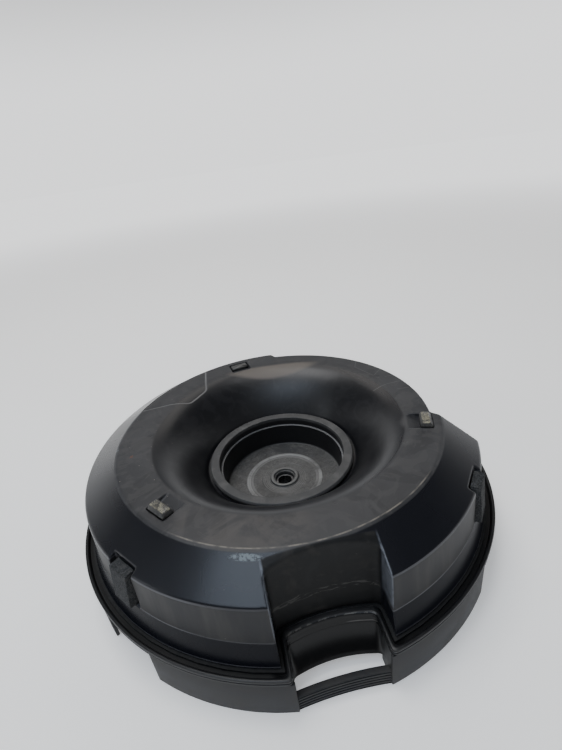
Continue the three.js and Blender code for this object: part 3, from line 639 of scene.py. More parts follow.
def cup_material():
    """Matte dark grey plastic, its floor rubbed pale and left with arcs of residue."""
    s = Surface("cup_plastic")
    z = s.position()[2]
    radius = s.radius()
    floor = s.all(s.span(z, 38.4, 40.5, 1, 0), s.span(radius, 59.8, 60.3, 1, 0))
    wall = s.all(s.span(z, 38.5, 40), s.span(z, CUP_RING_TOP - 4.5, CUP_RING_TOP - 2.5, 1, 0))
    ring = s.span(z, CUP_RING_TOP - 3.5, CUP_RING_TOP - 1.5)
    mottle = s.noise(55, 5, 0.65, 0.5)
    scour = s.noise(240, 5, 0.75, 2.2)
    drift = s.noise(24, 3, 0.6, 0.9)
    grime = s.all(floor, s.fade(s.noise(70, 5, 0.7, 2), 0.47, 0.56))
    rubbed = s.all(floor, s.fade(scour, 0.42, 0.66), s.fade(drift, 0.3, 0.65, 0.35, 1))
    waves = s.math("SINE", s.math("ADD", s.all(radius, 3400), s.all(drift, 14)))
    turned = s.all(floor, s.span(radius, 25.5, 23.5), s.fade(waves, 0.2, 1))
    dark = s.all(floor, s.fade(drift, 0.55, 0.62), s.span(radius, 40, 44))
    broken = s.fade(s.noise(34, 4, 0.65, 0.8), 0.3, 0.56, 0.12, 1)
    arcs = s.either(s.near(radius, 38.8, 2.4), s.all(s.near(radius, 35.2, 1.6), 0.45))
    step = s.all(s.near(z, CUP_RING_TOP - 9.4, 0.6), s.span(radius, 61, 61.5))
    boss = s.all(s.near(radius, 13.2, 1.8), s.span(z, 38.5, 39.5))
    color = s.layered(
        s.mix(s.fade(mottle, 0.35, 0.7), (0.037, 0.037, 0.038), (0.056, 0.0545, 0.052)),
        (grime, 0.6, (0.019, 0.018, 0.0175)),
        (wall, 1, (0.0062, 0.0062, 0.0072)),
        (rubbed, 0.6, (0.14, 0.136, 0.128)),
        (turned, 0.45, (0.155, 0.152, 0.145)),
        (dark, 1, (0.03, 0.03, 0.031)),
        (s.all(floor, arcs, broken), 0.75, (0.225, 0.222, 0.215)),
        (step, 0.6, (0.17, 0.17, 0.172)),
        (boss, 0.45, (0.2, 0.2, 0.19)),
        (s.all(ring, s.fade(mottle, 0.45, 0.7)), 0.4, (0.095, 0.095, 0.095)),
    )
    rough = s.blend(floor, 0.58, s.fade(scour, 0.3, 0.7, 0.4, 0.62))
    rough = s.blend(wall, rough, 0.42)
    s.bump(s.noise(1400, 2, 0.7), 0.15, 0.12)
    s.bump(scour, 0.12, 0.25)
    return s.done(color, rough)


def foam_material():
    s = Surface("foam", 0.95, specular=0.2)
    pores = s.noise(900, 3, 0.75)
    clumps = s.noise(160, 3, 0.6)
    color = s.mix(s.fade(pores, 0.38, 0.66), (0.016, 0.0168, 0.018), (0.056, 0.058, 0.06))
    color = s.mix(s.fade(clumps, 0.45, 0.75, 0, 0.35), color, (0.075, 0.074, 0.07))
    s.bump(pores, 0.8, 0.5)
    s.bump(clumps, 0.4, 1)
    return s.done(color)


def pad_material():
    """Dark rubber pads, rubbed through to a pale yellowish grey on top."""
    s = Surface("pad_plastic", 0.4)
    z = s.position()[2]
    fine = s.noise(1100, 4, 0.7, 0.3)
    worn = s.noise(190, 3, 0.6, 0.2)
    top = s.all(s.span(z, CROWN + 2.9, CROWN + 3.6), s.fade(s.blend(0.5, fine, worn), 0.44, 0.58))
    rim = s.all(s.near(z, CROWN + 0.6, 0.9), s.fade(fine, 0.5, 0.65))
    color = s.mix(s.all(top, 0.9), (0.016, 0.016, 0.0155), (0.25, 0.23, 0.16))
    color = s.mix(s.all(rim, 0.5), color, (0.11, 0.11, 0.1))
    s.bump(fine, 0.4, 0.3)
    return s.done(color, s.fade(worn, 0.3, 0.7, 0.3, 0.55))


def simple_material(name, dark, light, scale, roughness, metallic=0.0, strength=0.15, stretch=None):
    """Two tones of one colour with a matching bump, for pieces mostly out of sight."""
    s = Surface(name, roughness, metallic)
    pattern = s.noise(scale, 4, 0.6, 0.3, stretch)
    s.bump(pattern, strength, 0.3)
    rough = s.fade(pattern, 0.3, 0.7, roughness * 0.85, roughness * 1.1)
    return s.done(s.mix(s.fade(pattern, 0.35, 0.68), dark, light), rough)


MATERIALS = {
    "shell_plastic": shell_material(),
    "cover_plastic": cover_material(),
    "cup_plastic": cup_material(),
    "foam": foam_material(),
    "pad_plastic": pad_material(),
}
SIMPLE_MATERIALS = {
    "seal_rubber": ((0.003, 0.003, 0.0031), (0.0065, 0.0065, 0.0065), 400, 0.8),
    "steel": ((0.38, 0.38, 0.37), (0.56, 0.55, 0.52), 300, 0.34, 1.0, 0.1, (1, 1, 6)),
    "screw_steel": ((0.05, 0.05, 0.055), (0.14, 0.14, 0.14), 500, 0.38, 0.9),
    "ferrite": ((0.03, 0.03, 0.033), (0.055, 0.055, 0.058), 600, 0.6),
    "cone_paper": ((0.012, 0.012, 0.013), (0.03, 0.03, 0.03), 700, 0.8, 0.0, 0.5),
    "copper": ((0.42, 0.16, 0.07), (0.62, 0.30, 0.14), 900, 0.35, 1.0, 0.3, (0.1, 0.1, 8)),
    "spider_cloth": ((0.28, 0.2, 0.07), (0.46, 0.35, 0.14), 1200, 0.85, 0.0, 0.6),
    "cast_alloy": ((0.11, 0.11, 0.115), (0.19, 0.19, 0.19), 800, 0.5, 0.8, 0.3),
    "circuit_board": ((0.008, 0.05, 0.018), (0.015, 0.085, 0.03), 120, 0.4),
    "black_plastic": ((0.011, 0.011, 0.012), (0.022, 0.022, 0.023), 900, 0.5),
    "wadding": ((0.42, 0.41, 0.38), (0.72, 0.7, 0.66), 260, 0.95, 0.0, 0.9),
}
for name, values in SIMPLE_MATERIALS.items():
    MATERIALS[name] = simple_material(name, *values)
SLOTS = {row["node"]: row["material_slot"] for row in frame["record"]["subparts"]}


def finish_piece(piece, *nodes, body=ROOT):
    """Gives a piece its finish and its body, and hides the CAD nodes it stands for."""
    slot = SLOTS[nodes[0]]
    piece.data.materials.clear()
    piece.data.materials.append(MATERIALS[slot])
    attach(piece, body)
    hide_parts(*nodes)
    return piece


# ---- Camera, light and floor ----

CAMERA_PLACE = (-0.03854, -0.36669, 0.35580)
CAMERA_PITCH = -27.74
CAMERA_YAW = -7.66
CAMERA_ROLL = -7.63
FOCAL_SHARE = 440 / 750  # focal length over the picture's longer side


def make_camera():
    camera = bpy.data.cameras.new("camera")
    camera.sensor_width = 36
    camera.lens = FOCAL_SHARE * camera.sensor_width
    camera.clip_start = 0.01
    holder = placed("camera", camera)
    turn = Matrix.Rotation(math.radians(CAMERA_YAW), 4, "Z")
    tilt = Matrix.Rotation(math.radians(90 + CAMERA_PITCH), 4, "X")
    roll = Matrix.Rotation(math.radians(CAMERA_ROLL), 4, "Z")
    holder.matrix_world = Matrix.Translation(CAMERA_PLACE) @ turn @ tilt @ roll
    bpy.context.scene.camera = holder


def area_light(name, place, target, size, power, color=(1, 1, 1)):
    light = bpy.data.lights.new(name, "AREA")
    light.shape = "RECTANGLE"
    light.size, light.size_y = size
    light.energy = power
    light.color = color
    holder = placed(name, light)
    direction = Vector(target) - Vector(place)
    turn = direction.to_track_quat("-Z", "Y").to_matrix().to_4x4()
    holder.matrix_world = Matrix.Translation(place) @ turn


HORIZON = 1.5
ZENITH = 0.10


def make_lights():
    area_light("front_softbox", (-0.46, -0.66, 1.5), (0, 0, 0.08), (1.1, 0.6), 9.5, (0.70, 0.82, 1))
    area_light("back_softbox", (0.15, 1.25, 1.55), (0, 0, 0.08), (1.5, 0.7), 7, (1, 0.96, 0.91))
    area_light("overhead_softbox", (-0.35, 0.35, 2.4), (0, 0, 0), (1.2, 1.2), 34)
    area_light("left_strip", (-1.55, -0.25, 0.95), (0, -0.1, 0.1), (0.12, 0.5), 1.6, (0.9, 0.95, 1))
    world = bpy.data.worlds.new("studio")
    world.use_nodes = True
    tree = world.node_tree
    background = tree.nodes["Background"]
    background.inputs["Color"].default_value = (0.975, 0.985, 1, 1)
    direction = tree.nodes.new("ShaderNodeTexCoord").outputs["Generated"]
    split = tree.nodes.new("ShaderNodeSeparateXYZ")
    rise = tree.nodes.new("ShaderNodeMapRange")
    rise.interpolation_type = "SMOOTHSTEP"
    for index, number in ((1, 0.10), (2, 0.48), (3, HORIZON), (4, ZENITH)):
        rise.inputs[index].default_value = number
    tree.links.new(direction, split.inputs[0])
    tree.links.new(split.outputs[2], rise.inputs[0])
    tree.links.new(rise.outputs[0], background.inputs["Strength"])
    bpy.context.scene.world = world


def make_floor():
    """A pale floor that fades into the tone of the studio's horizon far from the object."""
    floor = prism("floor", circle(9000, 96), -20, -0.2)
    s = Surface("floor", 0.75, specular=0.15)
    far = s.span(s.radius(), 700, 3200)
    s.bump(s.noise(30, 4), 0.05, 1)
    pale = s.mix(s.noise(3, 4, 0.6), (0.80, 0.795, 0.78), (0.86, 0.857, 0.845))
    crumbs = s.all(s.specks(60, 0.05, 0.06), s.fade(s.noise(5, 2), 0.45, 0.6))
    pale = s.mix(s.all(crumbs, 0.5), pale, (0.3, 0.28, 0.25))
    floor.data.materials.append(s.done(s.mix(far, pale, (0, 0, 0))))
    s.link((0.975, 0.985, 1), s.shader.inputs["Emission Color"])
    s.link(s.blend(far, 0.38, HORIZON), s.shader.inputs["Emission Strength"])


make_camera()
make_lights()
make_floor()


# ---- Wheel-side shell ----

def notch_plan(half, back, corner=NOTCH_CORNER, steps=10):
    """Plan of a notch open towards -Y, its back wall bowed towards the axis."""
    outside = -RIM_RADIUS - 20
    side = -back - NOTCH_BOW
    right = (half, side - corner)
    right_end = (half - corner, side + NOTCH_BOW * 0.2)
    left_end = (-right_end[0], right_end[1])
    plan = [(-half, outside), (half, outside), right]
    plan += curve(right, (half, side), right_end, steps)
    plan += curve(right_end, (0, -back + NOTCH_BOW * 0.9), left_end, steps)
    plan += curve(left_end, (-half, side), (-half, side - corner), steps)
    return plan


def notch_cutter(grow):
    return prism("notch", notch_plan(NOTCH_HALF + grow, NOTCH_BACK - grow), 0, CROWN + 10)


def recess_side(angle, side, grow):
    """One side of the cable recess in plan, from inside the shell outwards."""
    foot = Vector(polar(RECESS_BACK, angle))
    end = Vector(polar(RIM_RADIUS + 20, angle + side * RECESS_FLARE))
    along = (end - foot).normalized()
    shift = Vector((-along.y, along.x)) * side * grow
    return foot - along * (CROWN_RADIUS - DISH_TOP_RADIUS) + shift, end + shift


def recess_cutter(grow):
    near_start, near_end = recess_side(RECESS_FROM, -1, grow)
    far_start, far_end = recess_side(RECESS_TO, 1, grow)
    first = math.degrees(math.atan2(near_end.y, near_end.x))
    last = math.degrees(math.atan2(far_end.y, far_end.x))
    arc = [polar(RIM_RADIUS + 20, first + (last - first) * i / 60) for i in range(61)]
    plan = [tuple(near_start), *arc, tuple(far_start)]
    sector = prism("recess", plan, RECESS_FLOOR - grow, CROWN + 10)
    core = prism("core", circle(RECESS_BACK - grow, 300), RECESS_FLOOR - grow - 1, CROWN + 11)
    return cut(sector, core)


def pocket_cutter(angle, grow):
    inner = BLOCK_INNER - 0.3 - grow
    outer = RIM_RADIUS + 10
    plan = rectangle(outer - inner, BLOCK_WIDTH + 2 * (POCKET_MARGIN + grow))
    middle_radius = (inner + outer) / 2
    return prism("pocket", plan, SLOPE_TOP - grow, SHOULDER + 8 + grow, angle, polar(middle_radius, angle))


def pad_socket_cutter(angle, grow):
    """Socket for a support pad, with a ramp that falls towards it from the inner side."""
    half = PAD_WIDTH / 2 + 0.6 + grow
    foot = -PAD_SOCKET_DEPTH - grow
    ramp = -half - RAMP_LENGTH - grow
    side = [(-half, foot), (half, foot), (half, 4), (ramp, 4), (ramp, -grow)]
    width = PAD_LENGTH / 2 + 0.6 + grow
    turn = Matrix.Rotation(math.radians(angle), 3, "Z")
    rings = [
        [turn @ Vector((PAD_RADIUS + x, y, CROWN + z)) for x, z in side]
        for y in (-width, width)
    ]
    return loft("pad_socket", rings)


def dish_path(inset, steps=30):
    """Parabola from the flat crown down to the dish's foot, moved inwards by inset."""
    spots = []
    for i in range(steps + 1):
        share = i / steps
        radius = DISH_TOP_RADIUS - (DISH_TOP_RADIUS - DISH_FOOT_RADIUS) * share
        drop = (CROWN - DISH_FOOT) * share ** 2
        slope = 2 * (CROWN - DISH_FOOT) / (DISH_TOP_RADIUS - DISH_FOOT_RADIUS) * share
        length = math.sqrt(1 + slope ** 2)
        spots.append((radius + inset * slope / length, CROWN - drop - inset / length))
    return spots


def shell_body(inset, foot):
    """The shell as a solid, each face moved inwards by inset."""
    ledge = SEAT_RADIUS - (5 if inset else 0)
    dish = dish_path(inset)
    dish[-1] = (dish[-1][0], DISH_FOOT - inset)
    outline = [
        (FOOT_RADIUS - inset, foot),
        (FOOT_RADIUS - inset, RIM_TOP, 1),
        (WAIST_RADIUS - inset, SLOPE_TOP, 3),
        (SHOULDER_RADIUS - inset, SHOULDER - inset * 0.3, 3),
        (CROWN_RADIUS - inset * 0.3, CROWN - inset, 2.5),
        *dish,
        (ledge, DISH_FOOT - inset),
        (ledge, foot),
    ]
    return lathe("shell_body", outline, 300)


def make_wheel_side_shell():
    foot = PLATE_TOP + 2.3
    shell = shell_body(0, foot)
    hollow = shell_body(WALL, foot - 5)
    inset = LIP + GROOVE
    cut(shell, notch_cutter(inset), recess_cutter(0))
    cut(hollow, notch_cutter(inset + WALL), recess_cutter(WALL))
    for angle in BLOCK_ANGLES:
        cut(shell, pocket_cutter(angle, 0))
        cut(hollow, pocket_cutter(angle, WALL))
    for angle in PAD_ANGLES:
        cut(shell, pad_socket_cutter(angle, 0))
        cut(hollow, pad_socket_cutter(angle, WALL))
    cut(shell, hollow)
    shell.name = "wheel_side_shell_moulding"
    moulded(shell, 0.8)
    round_notch_edges(shell)
    add_crown_relief(shell)
    finish_piece(shell, "wheel_side_shell")


def round_notch_edges(shell):
    """Softens the edges where the grip notch cuts the shell's outer faces."""
    group = shell.vertex_groups.new(name="notch_edges")
    half = NOTCH_HALF + LIP + GROOVE
    back = NOTCH_BACK - LIP - GROOVE
    for vertex in shell.data.vertices:
        x, y, z = vertex.co / MM
        if y > 10 - back or z < SLOPE_TOP - 10 or abs(x) > half + 8:
            continue
        beside = smooth_step(8, 4, abs(abs(x) - half))
        behind = smooth_step(8, 4, abs(y + back)) * smooth_step(CROWN - 10, CROWN - 6, z)
        weight = max(beside, behind)
        if weight > 0:
            group.add([vertex.index], weight, "REPLACE")
    softened(shell, 22, group.name)


PANEL_EDGE = [(157, 152.1), (116.1, 138.1), (119, 124.2), (157, 114.6)]
PANEL_STEP = 0.8
PANEL_CORNERS = 9


def panel_outline():
    """Edge of the panel at the crown's back left, with its two inner corners rounded."""
    spots = [Vector(polar(radius, angle)) for radius, angle in PANEL_EDGE]
    corners = [tuple(spots[0]), (*spots[1], PANEL_CORNERS), (*spots[2], PANEL_CORNERS), tuple(spots[3])]
    return [Vector(spot) for spot in rounded([*corners, polar(190, 133)], 8)][:-1]


def add_crown_relief(shell):
    """Steps the panel down, presses in the ejector marks and stores where the step's edge is."""
    outline = panel_outline()
    marks = [Vector(polar(radius, angle)) for radius, angle in EJECTOR_MARKS]
    edge = shell.data.attributes.new("panel_edge", "FLOAT", "POINT")
    values = [0.0] * len(shell.data.vertices)
    for vertex in shell.data.vertices:
        x, y, z = vertex.co / MM
        spot = Vector((x, y))
        fall = max(0, DISH_TOP_RADIUS - spot.length) / (DISH_TOP_RADIUS - DISH_FOOT_RADIUS)
        if spot.length < 95 or z < CROWN - (CROWN - DISH_FOOT) * fall ** 2 - 1.2:
            continue
        for mark in marks:
            away = (spot - mark).length
            if away < 3:
                vertex.co.z -= 0.35 * MM * smooth_step(2.4, 1.4, away) * smooth_step(0.4, 1.2, away)
        if x > -20 or y < 60:
            continue
        distance = signed_distance(spot, outline)
        vertex.co.z -= PANEL_STEP * MM * smooth_step(-0.7, 0.7, distance)
        values[vertex.index] = smooth_step(1.5, 0.5, abs(distance + 0.4))
    edge.data.foreach_set("value", values)


def signed_distance(spot, outline):
    """Distance to an open outline in plan, positive on its outer side."""
    best = None
    for a, b in zip(outline, outline[1:]):
        step = b - a
        share = min(max((spot - a).dot(step) / step.length_squared, 0), 1)
        away = spot - a - step * share
        if best is None or away.length < abs(best):
            side = step.x * away.y - step.y * away.x
            best = math.copysign(away.length, side)
    return best


def smooth_step(start, end, value):
    t = min(max((value - start) / (end - start), 0), 1)
    return t * t * (3 - 2 * t)


make_wheel_side_shell()


# ---- Cover-side shell ----

def rim_outline(radius, grow, z, back_grow=None, arc_steps=220, steps=8):
    """Plan of the cover side at height z: a circle with the grip notch in it."""
    half = NOTCH_HALF + grow
    back = NOTCH_BACK - (grow if back_grow is None else back_grow)
    back += (RIM_TOP - z) * NOTCH_LEAN
    side = -back - NOTCH_BOW
    mouth = 5 if radius > 195 else 2
    start = -90 + math.degrees(math.asin(half / radius))
    sweep = 360 - 2 * (start + 90)
    shift = math.degrees(mouth / radius)
    points = []
    for i in range(arc_steps + 1):
        points.append(polar(radius, start + shift + (sweep - 2 * shift) * i / arc_steps))
    edge = -math.sqrt(radius ** 2 - half ** 2)
    left_end = (-half + NOTCH_CORNER, side + NOTCH_BOW * 0.2)
    right_end = (-left_end[0], left_end[1])
    points += curve(points[-1], (-half, edge), (-half, edge + mouth), steps)
    points.append((-half, side - NOTCH_CORNER))
    points += curve(points[-1], (-half, side), left_end, steps)
    points += curve(left_end, (0, -back + NOTCH_BOW * 0.9), right_end, steps)
    points += curve(right_end, (half, side), (half, side - NOTCH_CORNER), steps)
    points.append((half, edge + mouth))
    points += curve(points[-1], (half, edge), points[0], steps)
    points.pop()
    return [(x, y, z) for x, y in points]


def make_rim():
    """The lip, the groove behind it and the plate under the wheel-side shell, as one sweep.

    Each row is the radius, the insets at the notch's sides and back, and the height. The lip's
    rows give how far they lie inside the rim instead of the radius.
    """
    lip = [
        (0.8, 0.5, 0.1, 34.2), (0.8, 0.5, 0.1, 35.2), (0.3, 0.2, 0.1, 35.7),
        (0.3, 0.2, 0.1, 36.8), (1.1, 0.7, 0.1, 37.4), (1.1, 0.7, 0.1, 38),
        (0.1, 0.1, 0.1, 38.7), (0, 0, 0, 39.7), (0.4, 0.4, 0.5, 40.6),
        (1.3, 1.3, 1.6, RIM_TOP), (2.2, 2.2, 4.6, 40.9), (3, 3, 5.4, 40.4),
        (3.4, 3.4, 5.9, 39.6), (LIP, LIP, 6, 38.6),
        (LIP + 0.2, LIP + 0.2, 6.1, PLATE_TOP + 0.3),
        (LIP + 0.6, LIP + 0.6, 6.3, PLATE_TOP),
    ]
    profile = [(RIM_RADIUS - depth, *row) for depth, *row in lip] + [
        (187, 14, 14, PLATE_TOP),
        (187, 14, 14, PLATE_TOP - WALL),
        (TUB_HEAD_RADIUS - WALL, WALL, WALL, PLATE_TOP - WALL),
        (TUB_FOOT_RADIUS - WALL + 0.5, WALL, WALL, COVER_FACE + WALL + 0.2),
        (TUB_FOOT_RADIUS - 8, 8, 8, COVER_FACE + WALL),
        (TUB_FOOT_RADIUS - 8, 8, 8, COVER_FACE),
        (TUB_FOOT_RADIUS - 2, 2, 2, COVER_FACE),
        (TUB_FOOT_RADIUS - 0.6, 0.6, 0.6, COVER_FACE + 0.6),
        (TUB_FOOT_RADIUS, 0, 0, COVER_FACE + 2),
        (TUB_HEAD_RADIUS, 0, 0, 33.4),
        (TUB_HEAD_RADIUS + 0.8, 0, 0, 34.2),
    ]
    rings = [rim_outline(radius, side, z, behind) for radius, side, behind, z in profile]
    return loft("rim", rings, True, 50)


def make_skirt_arc(start, end):
    """One arc of the skirt, between two gaps or beside the notch."""
    outer = RIM_RADIUS - 0.8
    inner = outer - SKIRT_WALL
    section = rounded([(inner, 0, 0.8), (outer, 0, 0.8), (outer, SKIRT_TOP), (inner, SKIRT_TOP)], 3)
    steps = max(8, int((end - start) * 1.1))
    rings = []
    for i in range(steps + 1):
        c, s = polar(1, start + (end - start) * i / steps)
        rings.append([(r * c, r * s, z) for r, z in section])
    return bevelled(loft("skirt_arc", rings), 0.5, 60)


def make_return_wall(side):
    """Closes the skirt's end beside the grip notch, back to the tub."""
    skirt_end = math.sqrt((RIM_RADIUS - 1) ** 2 - (NOTCH_HALF + SKIRT_WALL) ** 2)
    tub_end = math.sqrt((TUB_HEAD_RADIUS - WALL) ** 2 - NOTCH_HALF ** 2)
    plan = rectangle(SKIRT_WALL, skirt_end - tub_end)
    shift = (side * (NOTCH_HALF + SKIRT_WALL / 2), -(skirt_end + tub_end) / 2)
    return prism("return_wall", plan, 0.2, PLATE_TOP - WALL + 0.6, 0, shift)


def flat_outline(inset):
    """The tub's outline at its face, moved inwards."""
    return [(x, y) for x, y, _ in rim_outline(TUB_FOOT_RADIUS - inset, inset, COVER_FACE)]


def make_cover_side_shell():
    shell = make_rim()
    plate = prism("plate", flat_outline(4), COVER_FACE, COVER_FACE + WALL)
    driver = (DRIVER.x, DRIVER.y)
    well = prism("well", circle(WELL_RADIUS, 64, driver), COVER_FACE, 25)
    add(plate, combine(well, prism("inside", flat_outline(1), 5, 30), "INTERSECT"))
    add(plate, prism("centre_tube", circle(13), COVER_FACE + 1, CUP_UNDERSIDE - 0.3))
    add(shell, plate)
    cut(
        shell,
        prism("well_hollow", circle(WELL_RADIUS - WALL, 64, driver), 0, 22),
        prism("cutout", circle(DRIVER_CUTOUT, 64, driver), 0, 30),
        prism("port_hole", circle(PORT_HOLE, 48, (PORT.x, PORT.y)), 0, 20),
        prism("amp_opening", rectangle(*AMP_OPENING), 0, 20, -45, (AMP.x, AMP.y)),
        prism("bolt_hole", circle(CENTRE_HOLE), 0, CUP_UNDERSIDE + 1),
    )
    beside_notch = math.degrees(math.asin(NOTCH_HALF / RIM_RADIUS))
    half_gap = SKIRT_GAP / 2
    edges = [-90 + beside_notch]
    for angle in GAP_ANGLES:
        edges += [angle - half_gap, angle + half_gap]
    edges.append(270 - beside_notch)
    for start, end in zip(edges[::2], edges[1::2]):
        add(shell, make_skirt_arc(start, end))
    for side in (-1, 1):
        add(shell, make_return_wall(side))
    rib = (COVER_FACE - RIB_DEPTH, COVER_FACE + 1)
    for angle in (-90, 0, 90, 180):
        add(shell, prism("rib", rectangle(116, 2.4), *rib, angle, polar(82, angle)))
    hub_rib = prism("hub_rib", circle(24.5, 96), *rib)
    add(shell, cut(hub_rib, prism("inside", circle(22.1, 96), 0, 20)))
    edge_rib = prism("edge_rib", flat_outline(6), *rib)
    add(shell, cut(edge_rib, prism("inside", flat_outline(8), 0, 20)))
    shell.name = "cover_side_shell_moulding"
    finish_piece(shell, "cover_side_shell")


make_cover_side_shell()


def make_grip_strip():
    """A bowed strip across the notch with five rounded ribs along its outer face."""
    half = NOTCH_HALF - 0.3
    height = high("grip_strip", 2)
    face, bow, depth, ribs, steps = 198, 2, 5, 5, 28
    pitch = height / ribs
    section = [(depth, 0.2, 0.6), (depth, height, 0.6), (0.2, height, 0.8)]
    for i in reversed(range(ribs)):
        for back, share, corner in ((0, 0.74, 0.4), (1.6, 0.66, 0.3), (1.6, 0.34, 0.3), (0, 0.26, 0.4)):
            section.append((back, pitch * i + pitch * share, corner))
    section.append((0.2, 0.1, 0.4))
    section = rounded(section, 3)
    rings = []
    for i in range(steps + 1):
        share = i / steps
        across = half * (2 * share - 1)
        shift = -face - bow + 4 * bow * share * (1 - share)
        rings.append([(across, shift + back, z) for back, z in section])
    strip = loft("grip_strip_ribbed", rings, sharp=50)
    finish_piece(strip, "grip_strip")


make_grip_strip()


# ---- Centre cup and bush ----

def make_cup():
    ring_foot = CUP_RING_TOP - 5.9
    floor = CUP_UNDERSIDE + WALL
    outline = [
        (CENTRE_HOLE, CUP_UNDERSIDE),
        (62.9, CUP_UNDERSIDE, 2), (64.4, ring_foot - 4), (64.4, ring_foot),
        (CUP_RING_OUTER - 0.4, ring_foot, 0.4), (CUP_RING_OUTER, CUP_RING_TOP - 2, 1),
        (CUP_RING_OUTER - 1.4, CUP_RING_TOP, 1), (64.6, CUP_RING_TOP, 0.8),
        (64.1, ring_foot - 3.4, 0.4), (62.4, ring_foot - 3.6, 0.5), (60.6, floor, 1.6),
        (41.2, floor, 0.5), (40.8, floor + 0.35, 0.5), (38.6, floor + 0.35, 0.5),
        (38.2, floor, 0.5), (24.4, floor, 0.3), (24.1, floor - 0.3, 0.3),
        (15.4, floor, 1.2), (14.6, floor + 2.3, 0.9), (11.6, floor + 2.3, 0.6),
        (11.0, floor + 0.4, 0.3), (CENTRE_HOLE, floor + 0.2, 0.4),
    ]
    cup = lathe("centre_cup_moulding", outline, 200, steps=4)
    finish_piece(cup, "centre_cup")


def make_bush():
    foot = low("centre_bush", 2)
    top = high("centre_bush", 2)
    bore, sleeve, flange = 7.2, 9.7, 14.7
    step = foot + 1.7
    outline = [(bore, foot, 0.5), (flange, foot, 0.5), (flange, step, 0.4)]
    outline += [(sleeve, step), (sleeve, top, 0.5), (bore, top, 0.5)]
    finish_piece(lathe("centre_bush_turned", outline, 72, steps=3), "centre_bush")


make_cup()
make_bush()


# ---- Foam blocks and support pads ----

def make_foam_block(index, angle):
    """A block of open foam, its faces uneven, tapered and leaning along the rim."""
    node = f"foam_block_{index}"
    foot, top = low(node, 2), high(node, 2)
    depth = FOOT_RADIUS - BLOCK_INNER
    shape = fine_cube(1, 14, 0.03)
    turn = Matrix.Rotation(math.radians(angle), 3, "Z")
    centre = turn @ Vector(((BLOCK_INNER + depth / 2), 0, (foot + top) / 2))
    size = Vector((depth, BLOCK_WIDTH, top - foot))
    for vertex in shape.verts:
        local = Vector([c * s for c, s in zip(vertex.co, size)])
        rough = noise.noise_vector(local * 0.9 + Vector((index * 31, 0, 0))) * 0.35
        inner = Vector([max(min(r, 0.5), -0.5) for r in rough])
        local = Vector([c * (1 - 1.4 / s) for c, s in zip(local, size)]) + inner
        height = local.z / size.z + 0.5
        local.x = (local.x + depth / 2) * (1 - 0.3 * height) - depth / 2
        local.y += 1.6 * (2 * height - 1)
        vertex.co = (centre + turn @ local) * MM
    piece = from_bmesh(f"{node}_cut", shape, 50)
    finish_piece(piece, node)


def make_support_pad(index, angle):
    """A pad with worn chamfers on every upper edge, its top narrower than its foot."""
    node = f"support_pad_{index}"
    foot, top = low(node, 2) - CROWN, high(node, 2) - CROWN
    half = PAD_WIDTH / 2
    slant = min(3, top - foot - 2)
    side = rounded([
        (-half, foot),
        (half, foot),
        (half, top - slant, 0.9),
        (half - 2.8, top, 1.0),
        (-half + 2.2, top, 1.0),
        (-half, top - slant * 0.7, 0.7),
    ], 4)
    turn = Matrix.Rotation(math.radians(angle), 3, "Z")
    rings = []
    for share, inset in ((-1, 1.0), (-0.95, 0.35), (-0.88, 0), (0.88, 0), (0.95, 0.35), (1, 1.0)):
        ring = []
        for x, z in side:
            rise = max(0, (z - foot) / (top - foot))
            y = share * (PAD_LENGTH / 2 - rise * 1.2)
            x = PAD_RADIUS + x * (1 - inset * 0.06)
            ring.append(turn @ Vector((x, y, CROWN + z - inset * rise)))
        rings.append(ring)
    finish_piece(loft(f"{node}_worn", rings, sharp=45), node)


for number, angle in enumerate(BLOCK_ANGLES, 1):
    make_foam_block(number, angle)
for number, angle in enumerate(PAD_ANGLES, 1):
    make_support_pad(number, angle)

# ---- Seal, loudspeaker, port, amplifier and wiring ----

def dressed(node, width):
    """A copy of a CAD node with its edges rounded off by width."""
    piece = placed(f"{node}_finished", frame["nodes"][node].data.copy())
    shape = bmesh.new()
    shape.from_mesh(piece.data)
    bmesh.ops.remove_doubles(shape, verts=shape.verts, dist=1e-6)
    bmesh.ops.dissolve_limit(shape, angle_limit=0.02, verts=shape.verts, edges=shape.edges)
    shape.to_mesh(piece.data)
    shape.free()
    bevelled(piece, width, 30)
    finish_piece(piece, node)


def make_wadding():
    """A soft lumpy mat that lies along the inside of the shell."""
    node = "damping_wadding"
    foot, top = low(node, 2), high(node, 2)
    inner, outer, start, end = 112, 164, -160, -112
    shape = fine_cube(2, 30)
    for vertex in shape.verts:
        u, v, w = vertex.co
        soft = (abs(u) ** 6 + abs(v) ** 6 + abs(w) ** 6) ** (1 / 6)
        u, v, w = u / soft, v / soft, w / soft
        radius = (inner + outer) / 2 + u * ((outer - inner) / 2 - 2)
        angle = (start + end) / 2 + v * ((end - start) / 2 - 1)
        spot = Vector((*polar(radius, angle), (foot + top) / 2 + w * ((top - foot) / 2 - 2)))
        spot = spot + noise.noise_vector(spot * 0.09) * 1.3 + noise.noise_vector(spot * 0.45) * 0.6
        spot.z = min(max(spot.z, foot + 0.1), top - 0.1)
        vertex.co = spot * MM
    piece = from_bmesh("wadding_mat", shape, 60)
    finish_piece(piece, node)


def flexing(piece, node):
    """A round soft part: gives it its finish, hides its CAD node and bakes its placement into its mesh."""
    piece.data.materials.append(MATERIALS[SLOTS[node]])
    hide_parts(node)
    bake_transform(piece)


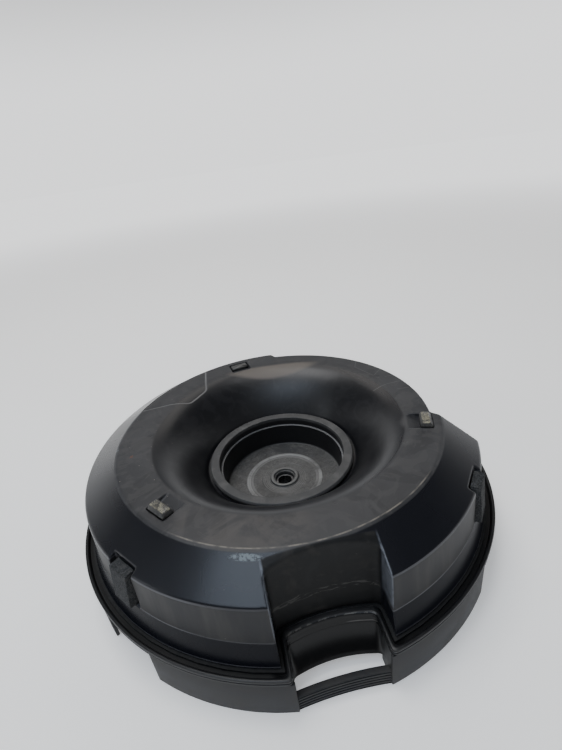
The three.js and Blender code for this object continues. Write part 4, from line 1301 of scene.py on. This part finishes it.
def turned_sheet(name, spots, thickness):
    """A thin sheet turned about the driver's axis, from (radius, underside height) points."""
    upper = [(radius, z + thickness) for radius, z in reversed(spots)]
    return lathe(name, spots + upper, 120, (DRIVER.x, DRIVER.y), 50)


def make_spider():
    foot = low("driver_spider", 2)
    spots = []
    for i in range(101):
        share = i / 100
        wave = math.cos(share * 10 * math.pi) ** 2
        spots.append((15 + 24.9 * share, foot + 0.9 * wave + 0.2))
    flexing(turned_sheet("corrugated_spider", spots, 0.6), "driver_spider")


def make_surround():
    foot = low("driver_surround", 2)
    spots = [(39.1, foot + 3.9)]
    for i in range(25):
        turn = math.pi * i / 24
        spots.append((44.35 - 3.75 * math.cos(turn), foot + 3.9 - 3.7 * math.sin(turn)))
    spots.append((49.6, foot + 3.9))
    flexing(turned_sheet("rolled_surround", spots, 0.7), "driver_surround")


def make_cone():
    """A curved paper cone with pressed rings."""
    centre = (DRIVER.x, DRIVER.y)
    rim, neck = low("driver_cone", 2), high("driver_cone", 2)
    spots = []
    for i in range(61):
        share = i / 60
        ring = 0.12 * math.sin(share * 26 * math.pi)
        height = rim + (neck - 1.3 - rim) * (share * 0.75 + 0.25 * share ** 2)
        if 0 < i < 60:
            height += ring
        spots.append((37.2 - (37.2 - 15) * share, max(height, rim)))
    spots.insert(0, (42.8, rim))
    upper = [(radius, min(z + 1, neck)) for radius, z in reversed(spots)]
    finish_piece(lathe("pressed_cone", spots + upper, 120, centre, 50), "driver_cone", body=CONE)


make_wadding()
make_spider()
make_surround()
make_cone()

DRESSED = {
    "driver_basket": 0.35, "driver_gasket": 0.3, "driver_top_plate": 0.4,
    "driver_magnet": 0.8, "driver_back_plate": 0.5, "driver_terminal": 0.8,
    "driver_grille": 0.3, "reflex_port": 0.4, "amplifier_heat_sink": 0.3,
    "amplifier_board": 0.2, "output_choke": 0.6, "capacitor_1": 0.6, "capacitor_2": 0.6,
    "harness_socket": 0.4,
}
for name, width in DRESSED.items():
    dressed(name, width)

for name, node in frame["nodes"].items():
    if not node.hide_render:
        node.data.materials.clear()
        node.data.materials.append(MATERIALS[SLOTS[name]])
        shade(node, 30)
